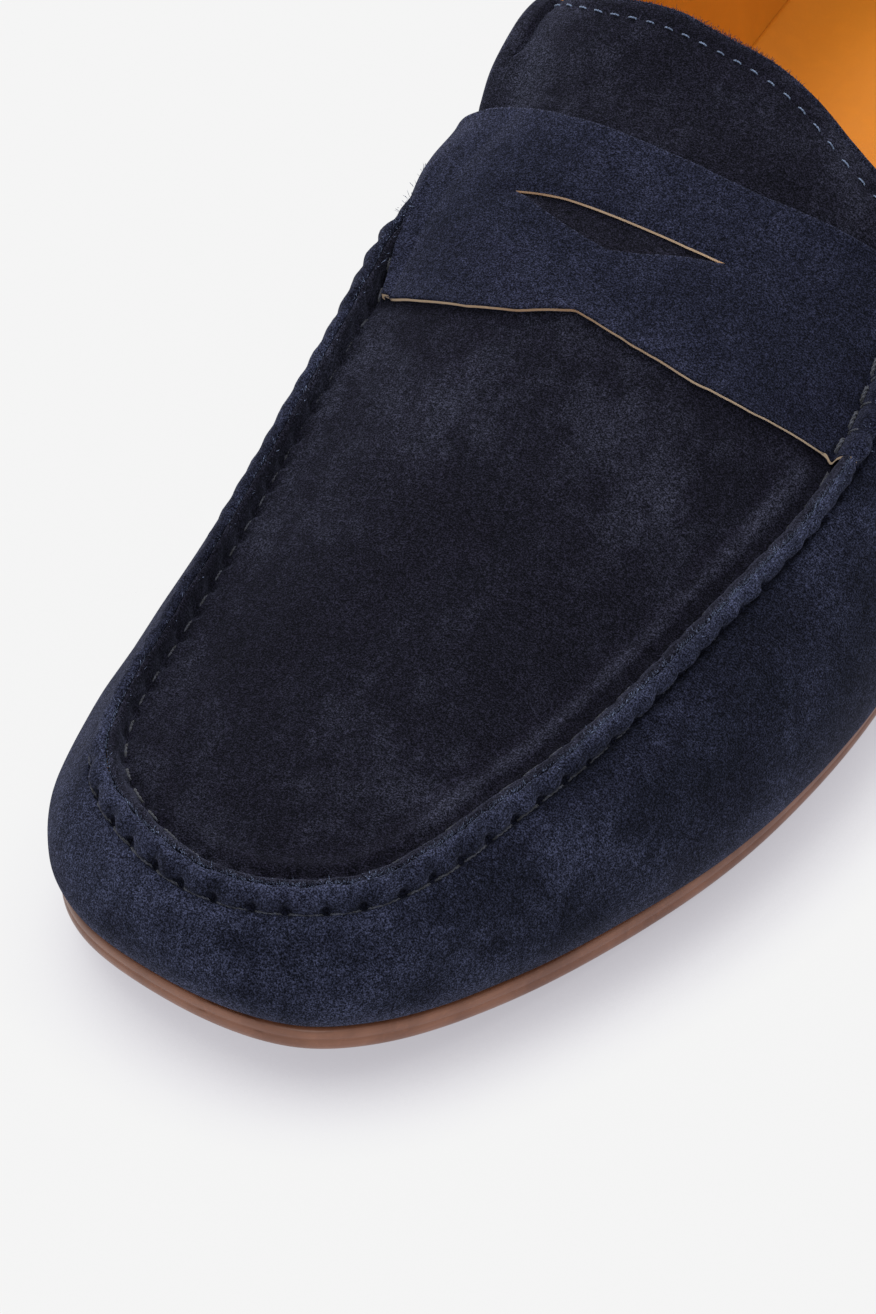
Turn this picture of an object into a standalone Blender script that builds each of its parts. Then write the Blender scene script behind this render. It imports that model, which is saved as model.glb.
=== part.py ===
"""Penny loafer, left foot: moccasin-toe slip-on shoe with a slotted saddle strap, built piece by piece.

Design frame, millimetres: X to the outer side of the foot, Y from the toe tip back to the heel, Z up from the ground.
The sides are one surface round the shoe (feather edge at the sole up to the crest of the apron seam and on into the
topline); the instep is a second surface between the two crests. Every piece of the upper is a layer of one or the other.
"""
import math
import bpy
import bmesh
import numpy as np
from mathutils import Vector

# ---------------------------------------------------------------- driving dimensions (mm)
OBJECT = "penny_loafer"
SUEDE = 1.5              # thickness of the outer suede
LINING = 0.8             # thickness of the lining leather
GAP = 0.3                # clearance between neighbouring pieces
SOLE = 4.5               # thickness of the outsole
SOLE_LIP = 1.2           # how far the bottom edge of the sole is drawn in
HEEL_FRONT = 230.0       # y of the heel breast
HEEL_TOP = 16.5          # feather height over the heel
LIFT_FACES = ((11.4, 8.0), (7.7, 4.3), (4.0, 0.0))   # top and bottom of the two heel lifts and the top piece
RIDGE_HALF = 2.5         # crest of the apron seam to its foot, across
RIDGE_RISE = 2.4         # crest of the apron seam above its foot
SEAM_IN = 3.0            # crest to the recessed edge of the apron, across
SEAM_DOWN = 2.3          # and down
RIDGE_END = (143.0, 140.0)   # y where the raised seam runs out, inner and outer side
SIDE_SEAM = 152.0        # y of the vamp to quarter seam
CROWN_POWER = 2.4        # squareness of the instep's cross-section
SHOULDER = 1.0           # how much squarer its inner side gets up the instep
STITCH = 5.0             # apron seam stitch
THREAD = 0.45            # apron seam thread radius
FINE_STITCH = 3.0        # topline stitch
FINE_THREAD = 0.28       # topline thread radius
STRAP_EDGE = ((-33.0, 108.4), (-24.4, 106.6), (-16.7, 106.0), (-9.4, 107.0), (-1.5, 110.2), (9.0, 108.7), (18.0, 108.4), (26.4, 110.0),
              (36.9, 113.4), (42.0, 116.5))                           # front edge of the strap
STRAP_BACK = ((-37.0, 143.6), (-29.5, 142.6), (-19.0, 140.6), (-7.0, 139.9), (9.0, 139.7), (19.5, 141.0), (30.3, 142.2), (38.0, 142.6))   # back edge
SLOT = ((-21.4, 126.4), (-18.5, 125.5), (-14.7, 123.7), (-10.3, 122.3), (-5.8, 121.4), (-1.8, 120.8), (2.7, 122.5), (7.6, 124.5),
        (13.6, 127.0), (17.0, 128.2), (8.5, 127.1), (-2.0, 127.0), (-12.0, 126.8))   # plan outline of the slot, point toward the toe
TONGUE_EDGE = ((-34.0, 160.6), (-25.0, 161.4), (-12.0, 161.2), (0.0, 160.8), (6.6, 160.0), (10.5, 159.2), (13.6, 158.2), (16.8, 157.0),
               (20.5, 155.6), (30.0, 153.6))                          # free edge of the tongue

# Stations round the inner side from toe to heel, then the outer side. Each: crest or topline x, y, z; feather x, y;
# how full the side is low down (out, up) and high up (out, down).
INNER = (
    (-1.0, 7.2, 28.5, 0.5, 0.0, 5.0, 6.0, 5.0, 3.0),
    (-11.0, 8.2, 28.7, -13.0, 2.2, 5.0, 6.0, 5.0, 3.0),
    (-20.5, 12.6, 29.1, -24.0, 6.3, 5.0, 6.0, 4.5, 3.0),
    (-27.8, 19.0, 29.8, -31.5, 12.5, 5.0, 6.5, 4.5, 3.0),
    (-31.2, 29.5, 31.2, -37.2, 22.5, 5.0, 7.0, 4.5, 4.0),
    (-32.2, 45.0, 34.0, -41.8, 38.5, 4.5, 8.0, 4.0, 5.0),
    (-33.2, 65.0, 38.0, -44.3, 61.0, 4.0, 9.0, 4.0, 6.0),
    (-34.3, 85.0, 42.6, -44.8, 84.0, 4.5, 10.0, 4.5, 7.0),
    (-35.0, 107.0, 49.2, -42.0, 108.0, 6.5, 12.0, 4.5, 8.0),
    (-36.2, 128.0, 55.6, -37.6, 130.0, 8.5, 14.0, 4.0, 10.0),
    (-36.6, 143.0, 59.4, -33.5, 148.0, 9.0, 15.0, 3.0, 12.0),
    (-34.9, 160.0, 65.5, -29.3, 166.0, 9.0, 16.0, 2.5, 14.0),
    (-33.2, 182.0, 61.5, -26.5, 188.0, 8.0, 15.0, 1.5, 14.0),
    (-32.0, 205.0, 56.5, -26.2, 210.0, 6.5, 12.0, 1.5, 12.0),
    (-30.5, 228.0, 53.0, -28.0, 230.0, 5.0, 10.0, 2.0, 11.0),
    (-27.0, 252.0, 53.5, -29.0, 254.0, 4.0, 10.0, 3.0, 11.0),
    (-18.0, 274.5, 57.5, -21.5, 277.0, 4.0, 12.0, 3.5, 12.0),
    (4.0, 288.0, 61.0, 4.0, 291.5, 4.0, 13.0, 4.5, 14.0),
)
OUTER = (
    (7.5, 9.4, 28.8, 12.0, 1.5, 5.0, 6.0, 5.0, 3.0),
    (16.0, 15.0, 29.2, 20.5, 7.6, 5.0, 6.0, 5.0, 3.0),
    (21.5, 24.5, 29.9, 26.0, 15.0, 5.0, 6.0, 5.5, 3.0),
    (25.3, 35.5, 30.7, 32.3, 27.0, 5.5, 6.0, 7.0, 3.0),
    (30.0, 49.5, 32.0, 38.8, 44.0, 7.0, 6.5, 9.0, 3.0),
    (34.0, 67.0, 34.0, 44.6, 63.0, 8.5, 7.0, 11.0, 3.5),
    (37.5, 85.0, 36.7, 48.4, 84.0, 9.5, 8.0, 12.0, 4.0),
    (41.0, 105.0, 40.0, 49.8, 106.0, 9.5, 9.0, 10.0, 5.0),
    (41.5, 122.0, 44.5, 48.8, 124.0, 8.5, 10.0, 8.0, 7.0),
    (39.0, 138.0, 50.0, 46.4, 141.0, 7.5, 11.0, 5.5, 9.0),
    (36.0, 154.0, 54.5, 43.2, 159.0, 6.5, 12.0, 4.0, 11.0),
    (35.5, 174.0, 52.5, 40.0, 180.0, 6.0, 11.0, 3.0, 11.0),
    (36.5, 197.0, 49.0, 38.0, 202.0, 5.0, 10.0, 2.5, 10.0),
    (37.0, 222.0, 48.0, 37.3, 225.0, 4.5, 10.0, 2.5, 10.0),
    (34.5, 247.0, 50.5, 36.8, 250.0, 4.0, 10.0, 3.0, 11.0),
    (25.5, 273.0, 56.5, 29.0, 275.5, 4.0, 12.0, 3.5, 12.0),
)
FEATHER = ((-5, 12.0), (0, 11.6), (20, 9.0), (50, 6.0), (80, 4.8), (110, 4.8), (130, 6.2), (155, 9.6), (180, 12.9),
           (205, 15.4), (HEEL_FRONT, HEEL_TOP), (300, HEEL_TOP))      # feather height by y
CROWN = ((5, 26.0), (10, 26.5), (16, 28.2), (25, 30.8), (40, 34.6), (70, 43.0), (100, 51.8), (115, 56.4), (130, 60.6),
         (145, 65.6), (163, 72.6), (180, 79.0))                       # instep height on the middle line by y
CENTRE = (3.97, 146.62)    # plan centre of the finished shoe's box

# ---------------------------------------------------------------- the two surfaces
UP = np.array([0.0, 0.0, 1.0])


def smooth_table(knots):
    """A monotone cubic through (position, value) pairs."""
    k = np.array(knots, float)
    x, v = k[:, 0], k[:, 1]
    d = np.diff(v) / np.diff(x)
    m = np.zeros(len(x))
    m[0], m[-1] = d[0], d[-1]
    for i in range(1, len(x) - 1):
        if d[i - 1] * d[i] > 0:
            h0, h1 = x[i] - x[i - 1], x[i + 1] - x[i]
            w1, w2 = 2 * h1 + h0, h1 + 2 * h0
            m[i] = (w1 + w2) / (w1 / d[i - 1] + w2 / d[i])

    def f(q):
        q = np.clip(np.asarray(q, float), x[0], x[-1])
        i = np.clip(np.searchsorted(x, q) - 1, 0, len(x) - 2)
        h = x[i + 1] - x[i]
        t = (q - x[i]) / h
        return ((2 * t**3 - 3 * t**2 + 1) * v[i] + (t**3 - 2 * t**2 + t) * h * m[i]
                + (3 * t**2 - 2 * t**3) * v[i + 1] + (t**3 - t**2) * h * m[i + 1])
    return f


def ring_spline(t, P, period):
    """A smooth closed curve through the rows of P at parameters t."""
    n = len(t)
    tt = np.append(t, t[0] + period)
    h = np.diff(tt)
    A, B = np.zeros((n, n)), np.zeros((n, P.shape[1]))
    for i in range(n):
        a, b = (i - 1) % n, (i + 1) % n
        A[i, a] += h[a]
        A[i, i] += 2 * (h[a] + h[i])
        A[i, b] += h[i]
        B[i] = 6 * ((P[b] - P[i]) / h[i] - (P[i] - P[a]) / h[a])
    M = np.linalg.solve(A, B)

    def f(q):
        q = np.mod(np.asarray(q, float), period)
        i = np.clip(np.searchsorted(tt, q, side="right") - 1, 0, n - 1)
        j = (i + 1) % n
        hh, a, b = h[i][..., None], (tt[i + 1] - q)[..., None], (q - tt[i])[..., None]
        return (M[i] * a**3 + M[j] * b**3) / (6 * hh) + (P[i] / hh - M[i] * hh / 6) * a + (P[j] / hh - M[j] * hh / 6) * b
    return f


feather_z, crown_z, tongue_line = smooth_table(FEATHER), smooth_table(CROWN), smooth_table(TONGUE_EDGE)
ROWS = np.array(INNER + OUTER[::-1], float)
_mid = (ROWS[:, 0:2] + ROWS[:, 3:5]) / 2
_seg = np.linalg.norm(np.roll(_mid, -1, 0) - _mid, axis=1)
KNOT = np.concatenate([[0.0], np.cumsum(_seg)[:-1]])
PERIOD = float(_seg.sum())
U_HEEL = float(KNOT[len(INNER) - 1])
rows = ring_spline(KNOT, ROWS, PERIOD)


def step(a, b, x):
    t = np.clip((np.asarray(x, float) - a) / (b - a), 0, 1)
    return t * t * (3 - 2 * t)


def outward(u):
    """Unit horizontal direction out of the shoe at u."""
    a, b = rows(np.asarray(u) - 0.5), rows(np.asarray(u) + 0.5)
    t = (b[..., 3:5] + b[..., 0:2]) - (a[..., 3:5] + a[..., 0:2])
    n = np.stack([-t[..., 1], t[..., 0]], -1)
    n = n / np.linalg.norm(n, axis=-1, keepdims=True)
    return np.concatenate([n, np.zeros(n.shape[:-1] + (1,))], -1)


def crest(u):
    return rows(u)[..., 0:3]


def ridge(u):
    """1 where the apron seam stands up, 0 along the topline."""
    c = crest(u)
    end = np.where(c[..., 0] < 0, RIDGE_END[0], RIDGE_END[1])
    return 1 - step(0, 10, c[..., 1] - end)


def by_crest(u, out, up):
    """A point out across and up from the crest."""
    return crest(u) + outward(u) * np.asarray(out, float)[..., None] + UP * np.asarray(up, float)[..., None]


def wall_face(u, v):
    r, n, k = rows(u), outward(u), ridge(u)[..., None]
    F = np.stack([r[..., 3], r[..., 4], feather_z(r[..., 4])], -1)
    C = r[..., 0:3] + k * (n * RIDGE_HALF - UP * RIDGE_RISE)
    P1 = F + n * r[..., 5:6] + UP * r[..., 6:7]
    P2 = C + n * (r[..., 7:8] - 1.5 * k) - UP * (r[..., 8:9] - 1.0 * k)
    v = np.asarray(v, float)[..., None]
    return (1 - v)**3 * F + 3 * (1 - v)**2 * v * P1 + 3 * (1 - v) * v**2 * P2 + v**3 * C


def wall(u, v, off=0.0):
    """The outer face of the sides, u round the shoe and v up from the feather edge, moved off along its normal."""
    u, v, off = np.broadcast_arrays(np.asarray(u, float), np.asarray(v, float), np.asarray(off, float))
    du = wall_face(u + 0.4, v) - wall_face(u - 0.4, v)
    dv = wall_face(u, np.minimum(v + 0.01, 1)) - wall_face(u, np.maximum(v - 0.01, 0))
    n = np.cross(du, dv)
    n = n / np.linalg.norm(n, axis=-1, keepdims=True)
    s = np.sign((n * outward(u)).sum(-1, keepdims=True) + 0.3 * n[..., 2:3])
    return wall_face(u, v) + n * s * off[..., None]


def seam(u):
    """The recessed line where the apron turns up into the ridge."""
    k = ridge(u)
    return by_crest(u, -SEAM_IN + 0 * k, -SEAM_DOWN * k - 0.4 * (1 - k))


_uu = np.linspace(U_HEEL - PERIOD, U_HEEL, 4001)
_ss = seam(_uu)
_i0 = int(np.argmin(_ss[:, 1]))
U_TOE = float(_uu[_i0])
_side = {1: (_uu[:_i0 + 1][::-1], _ss[:_i0 + 1][::-1]), -1: (_uu[_i0:], _ss[_i0:])}
_side = {k: (u, s, np.maximum.accumulate(s[:, 1] + np.arange(len(u)) * 1e-9)) for k, (u, s) in _side.items()}


def seam_at(y, side):
    """x and z of the recessed line at y; side -1 inner, 1 outer."""
    u, s, yy = _side[side]
    return np.interp(y, yy, s[:, 0]), np.interp(y, yy, s[:, 2])


def u_at(y, side):
    """u where the recessed line passes y."""
    u, s, yy = _side[side]
    return np.interp(y, yy, u)


def u_feather(y, side):
    """u where the feather edge passes y on the side given."""
    u = np.linspace(0, U_HEEL, 900) if side < 0 else np.linspace(0, U_HEEL - PERIOD, 900)
    return np.interp(y, np.maximum.accumulate(rows(u)[:, 4]), u)


def top_z(x, y):
    (xm, zm), (xl, zl) = seam_at(y, -1), seam_at(y, 1)
    w = np.maximum(xl - xm, 1e-3)
    s = np.clip((2 * x - xm - xl) / w, -1.15, 1.15)
    return zm * (1 - s) / 2 + zl * (1 + s) / 2 + (crown_z(y) - (zm + zl) / 2) * (1 - np.abs(s)**np.where(s < 0, CROWN_POWER + SHOULDER * step(95, 140, y), CROWN_POWER))


def top(x, y, off=0.0):
    """The outer face of the instep at plan point x, y, moved off along its normal."""
    x, y, off = np.broadcast_arrays(np.asarray(x, float), np.asarray(y, float), np.asarray(off, float))
    zx = (top_z(x + 0.5, y) - top_z(x - 0.5, y))
    zy = (top_z(x, y + 0.5) - top_z(x, y - 0.5))
    n = np.stack([-zx, -zy, np.ones_like(zx)], -1)
    n = n / np.linalg.norm(n, axis=-1, keepdims=True)
    return np.stack([x, y, top_z(x, y)], -1) + n * off[..., None]


# ---------------------------------------------------------------- Blender helpers
for old in list(bpy.data.objects):
    bpy.data.objects.remove(old, do_unlink=True)
parts = bpy.data.collections.new(OBJECT)
cutters = bpy.data.collections.new("cutters")
for c in (parts, cutters):
    bpy.context.scene.collection.children.link(c)


def material(name, colour, rough, metallic=0.0):
    m = bpy.data.materials.new(name)
    m.use_nodes = True
    b = m.node_tree.nodes["Principled BSDF"]
    b.inputs["Base Color"].default_value = colour + (1.0,)
    b.inputs["Roughness"].default_value = rough
    b.inputs["Metallic"].default_value = metallic
    m.diffuse_color = colour + (1.0,)
    return m


NAVY = (0.022, 0.026, 0.052)
PALE_NAVY = (0.032, 0.040, 0.078)
TAN = (0.56, 0.24, 0.05)
BROWN = (0.17, 0.075, 0.038)


def place(name, verts, faces, look, where=parts, thick=0.0, bevel=0.0, smooth=True, merge=True):
    """One named solid from millimetre points; thick turns an open surface into a layer centred on it."""
    v = np.asarray(verts, float)
    c = np.round((v.min(0) + v.max(0)) / 2, 1)
    bm = bmesh.new()
    bv = [bm.verts.new(p) for p in (v - c) / 1000.0]
    bm.verts.ensure_lookup_table()
    for f in faces:
        ring = [bv[i] for i in dict.fromkeys(f)]
        if len(ring) > 2:
            bm.faces.new(ring)
    if merge:
        bmesh.ops.remove_doubles(bm, verts=bm.verts, dist=4e-6)
        bmesh.ops.dissolve_degenerate(bm, dist=2e-6, edges=bm.edges)
    if not thick:
        bmesh.ops.recalc_face_normals(bm, faces=bm.faces)
    me = bpy.data.meshes.new(name)
    bm.to_mesh(me)
    bm.free()
    for p in me.polygons:
        p.use_smooth = smooth
    ob = bpy.data.objects.new(name, me)
    where.objects.link(ob)
    ob.location = Vector(((c[0] - CENTRE[0]) / 1000.0, (c[1] - CENTRE[1]) / 1000.0, c[2] / 1000.0))
    me.materials.append(look)
    if thick:
        s = ob.modifiers.new("thickness", "SOLIDIFY")
        s.thickness = thick / 1000.0
        s.offset = 0.0
        s.use_even_offset = True
        s.use_quality_normals = True
    if bevel:
        b = ob.modifiers.new("edge", "BEVEL")
        b.width = bevel / 1000.0
        b.segments = 1
        b.limit_method = "ANGLE"
        b.angle_limit = math.radians(50)
    return ob


def grid_faces(nr, nc, base=0, close=False):
    out = []
    for i in range(nr - 1 + (1 if close else 0)):
        for j in range(nc - 1):
            a, b = base + i * nc + j, base + ((i + 1) % nr) * nc + j
            out.append((a, a + 1, b + 1, b))
    return out


def layer(name, P, thick, look):
    """A layer of leather from a grid of points on its middle surface."""
    P = np.asarray(P, float)
    return place(name, P.reshape(-1, 3), grid_faces(P.shape[0], P.shape[1]), look, thick=thick)


def rails(outline, n, inset):
    """Matching points down the inner and outer side of the feather outline, toe to heel, drawn in by inset(y)."""
    um = np.linspace(0, U_HEEL, 400)
    ul = np.linspace(0, U_HEEL - PERIOD, 400)

    def pts(u):
        p = outline(u)
        p = p[..., :2] - outward(u)[..., :2] * np.asarray(inset(p[..., 1]), float)[..., None]
        return p

    def sample(u):
        p = pts(u)
        d = np.linalg.norm(np.diff(p, axis=0), axis=1)
        o = outward(u)[:, :2]
        w = np.concatenate([[0], np.cumsum(d + 22 * np.linalg.norm(np.diff(o, axis=0), axis=1))])
        q = np.linspace(0, w[-1], n)
        return np.stack([np.interp(q, w, p[:, 0]), np.interp(q, w, p[:, 1])], 1)
    return sample(um), sample(ul)


def plate(name, L, R, across, z_low, z_high, look, bevel=0.0, draw_in=0.0):
    """A flat-lying sheet between matching side points, closed at both tips, with upper and lower faces by height."""
    s = np.linspace(0, 1, across)[None, :, None]
    G = L[:, None, :] * (1 - s) + R[:, None, :] * s
    n = len(L)
    top_pts = np.concatenate([G, z_high(G[..., 0], G[..., 1])[..., None]], -1)
    c = G.mean(axis=(0, 1))
    low = G.copy()
    if draw_in:
        for side, j in ((0, 0), (1, -1)):
            rail = G[:, j]
            t = np.gradient(rail, axis=0)
            nn = np.stack([t[:, 1], -t[:, 0]], 1)
            nn /= np.maximum(np.linalg.norm(nn, axis=1, keepdims=True), 1e-9)
            nn *= np.sign((nn * (rail - np.stack([np.full(n, c[0]), np.clip(rail[:, 1], 45, 250)], 1))).sum(1, keepdims=True))
            low[:, j] = rail - nn * draw_in
        low[0] = (low[0, 0] + low[0, -1]) / 2
        low[-1] = (low[-1, 0] + low[-1, -1]) / 2
    low_pts = np.concatenate([low, z_low(low[..., 0], low[..., 1])[..., None]], -1)
    V = np.concatenate([top_pts.reshape(-1, 3), low_pts.reshape(-1, 3)])
    k = n * across
    F = grid_faces(n, across) + [tuple(i + k for i in f[::-1]) for f in grid_faces(n, across)]
    for i in range(n - 1):
        a, b = i * across, (i + 1) * across
        F.append((a, b, b + k, a + k))
        a, b = a + across - 1, b + across - 1
        F.append((b, a, a + k, b + k))
    for row in (0, n - 1):
        for j in range(across - 1):
            a = row * across + j
            F.append((a, a + 1, a + 1 + k, a + k))
    return place(name, V, F, look, bevel=bevel)


def slab(name, outline, z_high, z_low, look, bevel=0.0, taper=0.0):
    """A flat slab from a plan outline, extruded between two heights."""
    o = np.asarray(outline, float)
    c = o.mean(0)
    low = c + (o - c) * (1 - taper)
    n = len(o)
    V = np.concatenate([np.column_stack([o, np.full(n, z_high)]), np.column_stack([low, np.full(n, z_low)])])
    F = [tuple(range(n)), tuple(range(2 * n - 1, n - 1, -1))] + [(i, (i + 1) % n, n + (i + 1) % n, n + i) for i in range(n)]
    return place(name, V, F, look, bevel=bevel, merge=False)


def cord(name, P, radius, look, sides=0):
    """A thread along points, as a round-section curve turned into one closed mesh."""
    P = np.asarray(P, float)
    c = np.round((P.min(0) + P.max(0)) / 2, 1)
    cu = bpy.data.curves.new(name, "CURVE")
    cu.dimensions = "3D"
    sp = cu.splines.new("POLY")
    sp.points.add(len(P) - 1)
    for k, p in enumerate((P - c) / 1000.0):
        sp.points[k].co = (p[0], p[1], p[2], 1.0)
    cu.bevel_depth = radius / 1000.0
    cu.bevel_resolution = sides
    cu.use_fill_caps = True
    tmp = bpy.data.objects.new(name + "_path", cu)
    parts.objects.link(tmp)
    dep = bpy.context.evaluated_depsgraph_get()
    me = bpy.data.meshes.new_from_object(tmp.evaluated_get(dep))
    bm = bmesh.new()
    bm.from_mesh(me)
    bmesh.ops.remove_doubles(bm, verts=bm.verts, dist=1e-6)
    bmesh.ops.recalc_face_normals(bm, faces=bm.faces)
    bm.to_mesh(me)
    bm.free()
    me.name = name
    bpy.data.objects.remove(tmp, do_unlink=True)
    bpy.data.curves.remove(cu)
    ob = bpy.data.objects.new(name, me)
    parts.objects.link(ob)
    ob.location = Vector(((c[0] - CENTRE[0]) / 1000.0, (c[1] - CENTRE[1]) / 1000.0, c[2] / 1000.0))
    me.materials.clear()
    me.materials.append(look)
    for p in me.polygons:
        p.use_smooth = True
    return ob


# ---------------------------------------------------------------- looks
suede = material("navy_suede", NAVY, 0.95)
strap_suede = material("pale_navy_suede", PALE_NAVY, 0.93)
lining_leather = material("tan_lining_leather", TAN, 0.5)
sole_leather = material("brown_sole_leather", BROWN, 0.38)
heel_leather = material("stacked_heel_leather", (0.14, 0.062, 0.032), 0.42)
heel_rubber = material("heel_rubber", (0.045, 0.032, 0.026), 0.7)
board = material("insole_board_fibre", (0.42, 0.30, 0.18), 0.85)
cork = material("cork_filler", (0.46, 0.28, 0.13), 0.9)
foam = material("heel_foam", (0.72, 0.66, 0.50), 0.95)
stiff = material("stiffener_board", (0.55, 0.48, 0.38), 0.8)
steel = material("shank_steel", (0.55, 0.56, 0.58), 0.35, 1.0)
dark_thread = material("navy_waxed_thread", (0.012, 0.014, 0.026), 0.6)
pale_thread = material("blue_thread", (0.11, 0.15, 0.27), 0.7)

# ---------------------------------------------------------------- bottom of the shoe
feather_xy = lambda u: rows(u)[..., 3:5]
L, R = rails(feather_xy, 25, lambda y: 0 * y - 0.3)
plate("outsole", L, R, 5, lambda x, y: feather_z(y) - GAP - SOLE, lambda x, y: feather_z(y) - GAP, sole_leather, draw_in=SOLE_LIP)

heel_u = np.linspace(u_feather(HEEL_FRONT + 1, -1), u_feather(HEEL_FRONT + 1, 1) + PERIOD, 19)
heel_line = feather_xy(heel_u) - outward(heel_u)[:, :2] * 1.0
breast = np.array([[x, HEEL_FRONT + 3.0 * (1 - (x / 30.0)**2)] for x in (20.0, 4.0, -12.0)])
heel_line = np.concatenate([heel_line, breast])
for k, (nm, look) in enumerate((("heel_lift_upper", heel_leather), ("heel_lift_lower", heel_leather), ("heel_top_piece", heel_rubber))):
    hi, lo = LIFT_FACES[k]
    mid = heel_line.mean(0)
    slab(nm, mid + (heel_line - mid) * (1 - 0.012 * k), hi, lo, look, bevel=0.5, taper=0.012)


def inner_inset(y):
    """How far the inside face of the lining lies in from the feather edge."""
    return 3.5 + 1.5 * (1 - step(42, 62, y)) + 1.7 * step(172, 196, y)


L, R = rails(feather_xy, 17, lambda y: inner_inset(y) + 1.0)
BOARD = (0.4, 2.4)       # insole board, under and upper face above the feather height
plate("insole_board", L, R, 4, lambda x, y: feather_z(y) + BOARD[0], lambda x, y: feather_z(y) + BOARD[1], board)
SOCK = (4.3, 5.5)
L, R = rails(feather_xy, 17, lambda y: inner_inset(y) + 0.9)
plate("sock_lining", L, R, 4, lambda x, y: feather_z(y) + SOCK[0] + 0.15, lambda x, y: feather_z(y) + SOCK[1] + 0.5 * np.abs(x / 40)**2, lining_leather)

# the forepart filler and the heel foam share the space between board and sock; the shank lies between them
fill_y = np.linspace(24, 140, 9)
edge_x = lambda y, side: rows(u_feather(y, side))[..., 3]
fl = np.column_stack([edge_x(fill_y, -1) + 13.0, fill_y])
fr = np.column_stack([edge_x(fill_y, 1) - 13.0, fill_y])
plate("forepart_filler", fl, fr, 3, lambda x, y: feather_z(y) + BOARD[1] + GAP + 0.2, lambda x, y: feather_z(y) + SOCK[0] - 0.25, cork)
sh_y = np.linspace(146, 222, 9)
plate("shank", np.column_stack([3.0 - 5.5 + 0 * sh_y, sh_y]), np.column_stack([3.0 + 5.5 + 0 * sh_y, sh_y]), 2,
      lambda x, y: feather_z(y) + BOARD[1] + GAP, lambda x, y: feather_z(y) + BOARD[1] + GAP + 1.1, steel)
pad_y = np.array([228.0, 234.0, 243.0, 254.0, 264.0, 272.0, 278.0])
pw = np.array([12.0, 19.0, 21.0, 20.5, 17.5, 13.0, 6.0])
plate("heel_pad", np.column_stack([3.6 - pw, pad_y]), np.column_stack([3.6 + pw, pad_y]), 3,
      lambda x, y: feather_z(y) + BOARD[1] + GAP, lambda x, y: feather_z(y) + SOCK[0] - 0.15, foam)

# ---------------------------------------------------------------- upper
U_SEAM = {-1: float(u_at(SIDE_SEAM, -1)), 1: float(u_at(SIDE_SEAM, 1))}
EDGE_GAP = 0.35
MID = -SUEDE / 2


def spaced(a, b, n, tight=0.0):
    """n values from a to b, closer together where the outline turns round the toe."""
    t = np.linspace(0, 1, 400)
    u = a + (b - a) * t
    o = outward(u)
    turn = np.concatenate([[0], np.linalg.norm(np.diff(o[:, :2], axis=0), axis=1)])
    w = np.cumsum(abs(b - a) / 400 + 26 * turn)
    return np.interp(np.linspace(w[0], w[-1], n), w, u)


# every layer of the upper shares these stations, so that the layers stay parallel
FORE = list(zip(spaced(U_TOE, U_SEAM[-1], 18), spaced(U_TOE, U_SEAM[1], 18)))     # matching inner and outer u, toe to side seam
REAR = spaced(U_SEAM[-1], U_SEAM[1] + PERIOD, 29)                                # round the heel from one side seam to the other
VS = (0.0, 0.2, 0.42, 0.65, 0.86, 1.0)
ACROSS = np.array([0.0, 0.05, 0.13, 0.23, 0.35, 0.5, 0.65, 0.77, 0.87, 0.95, 1.0])


def between(grid, a, b):
    """The stations from a to b, with a and b themselves as the ends."""
    lo, hi = min(a, b), max(a, b)
    m = 0.12 * (max(grid) - min(grid)) / len(grid)
    q = np.array([lo] + [g for g in sorted(grid) if lo + m < g < hi - m] + [hi])
    return q if a < b else q[::-1]


FORE_U = [p[1] for p in FORE[::-1]] + [p[0] for p in FORE[1:]]

# vamp: the side wall round the toe, its top edge turned up as the outer half of the ridge
U = between(FORE_U, U_SEAM[1] + EDGE_GAP / 2, U_SEAM[-1] - EDGE_GAP / 2)
V = np.array(VS[:-1] + (0.94,))


def lip(u, out, up, v):
    """A point on the vamp's turned-up edge, easing into the plain wall where the ridge ends."""
    k = ridge(u)[..., None]
    return by_crest(u, out + 0 * u, up + 0 * u) * k + wall(u, v + 0 * u, MID) * (1 - k)


body = np.concatenate([wall(U[:, None], V[None, :], MID), lip(U, 1.3, -1.3, 0.96)[:, None], lip(U, 0.97, 0.9, 1.0)[:, None]], 1)
layer("vamp", body, SUEDE, suede)

# apron: recessed plug with its edge turned up as the inner half of the ridge, running on under the strap as the tongue
def tongue_end(x):
    """y of the tongue's free edge across the shoe."""
    return tongue_line(x)


def raised(u, out, up, flat_out, flat_up):
    """A point set from the crest, with other distances where the ridge has run out."""
    k = float(ridge(np.array(u)))
    return by_crest(np.array(u), out * k + flat_out * (1 - k), up * k + flat_up * (1 - k))


apron = []
for a, b in FORE:
    pa, pb = seam(np.array(a)), seam(np.array(b))
    x, y = pa[0] * (1 - ACROSS) + pb[0] * ACROSS, pa[1] * (1 - ACROSS) + pb[1] * ACROSS
    row = [raised(a, -0.97, 0.9, -2.55, -1.15), raised(a, -1.3, -1.3, -2.75, -1.15)] + list(top(x, y, MID))
    row += [raised(b, -1.3, -1.3, -2.75, -1.15), raised(b, -0.97, 0.9, -2.55, -1.15)]
    apron.append(np.array(row))
last = apron[-1]
ends = -29.0 + 56.5 * (last[:, 0] - last[0, 0]) / (last[-1, 0] - last[0, 0])
for f in (0.35, 0.7, 1.0):
    x = last[:, 0] * (1 - f) + ends * f
    y = last[:, 1] * (1 - f) + tongue_end(ends) * f
    apron.append(top(x, y, MID))
layer("apron_and_tongue", np.array(apron), SUEDE, suede)

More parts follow.
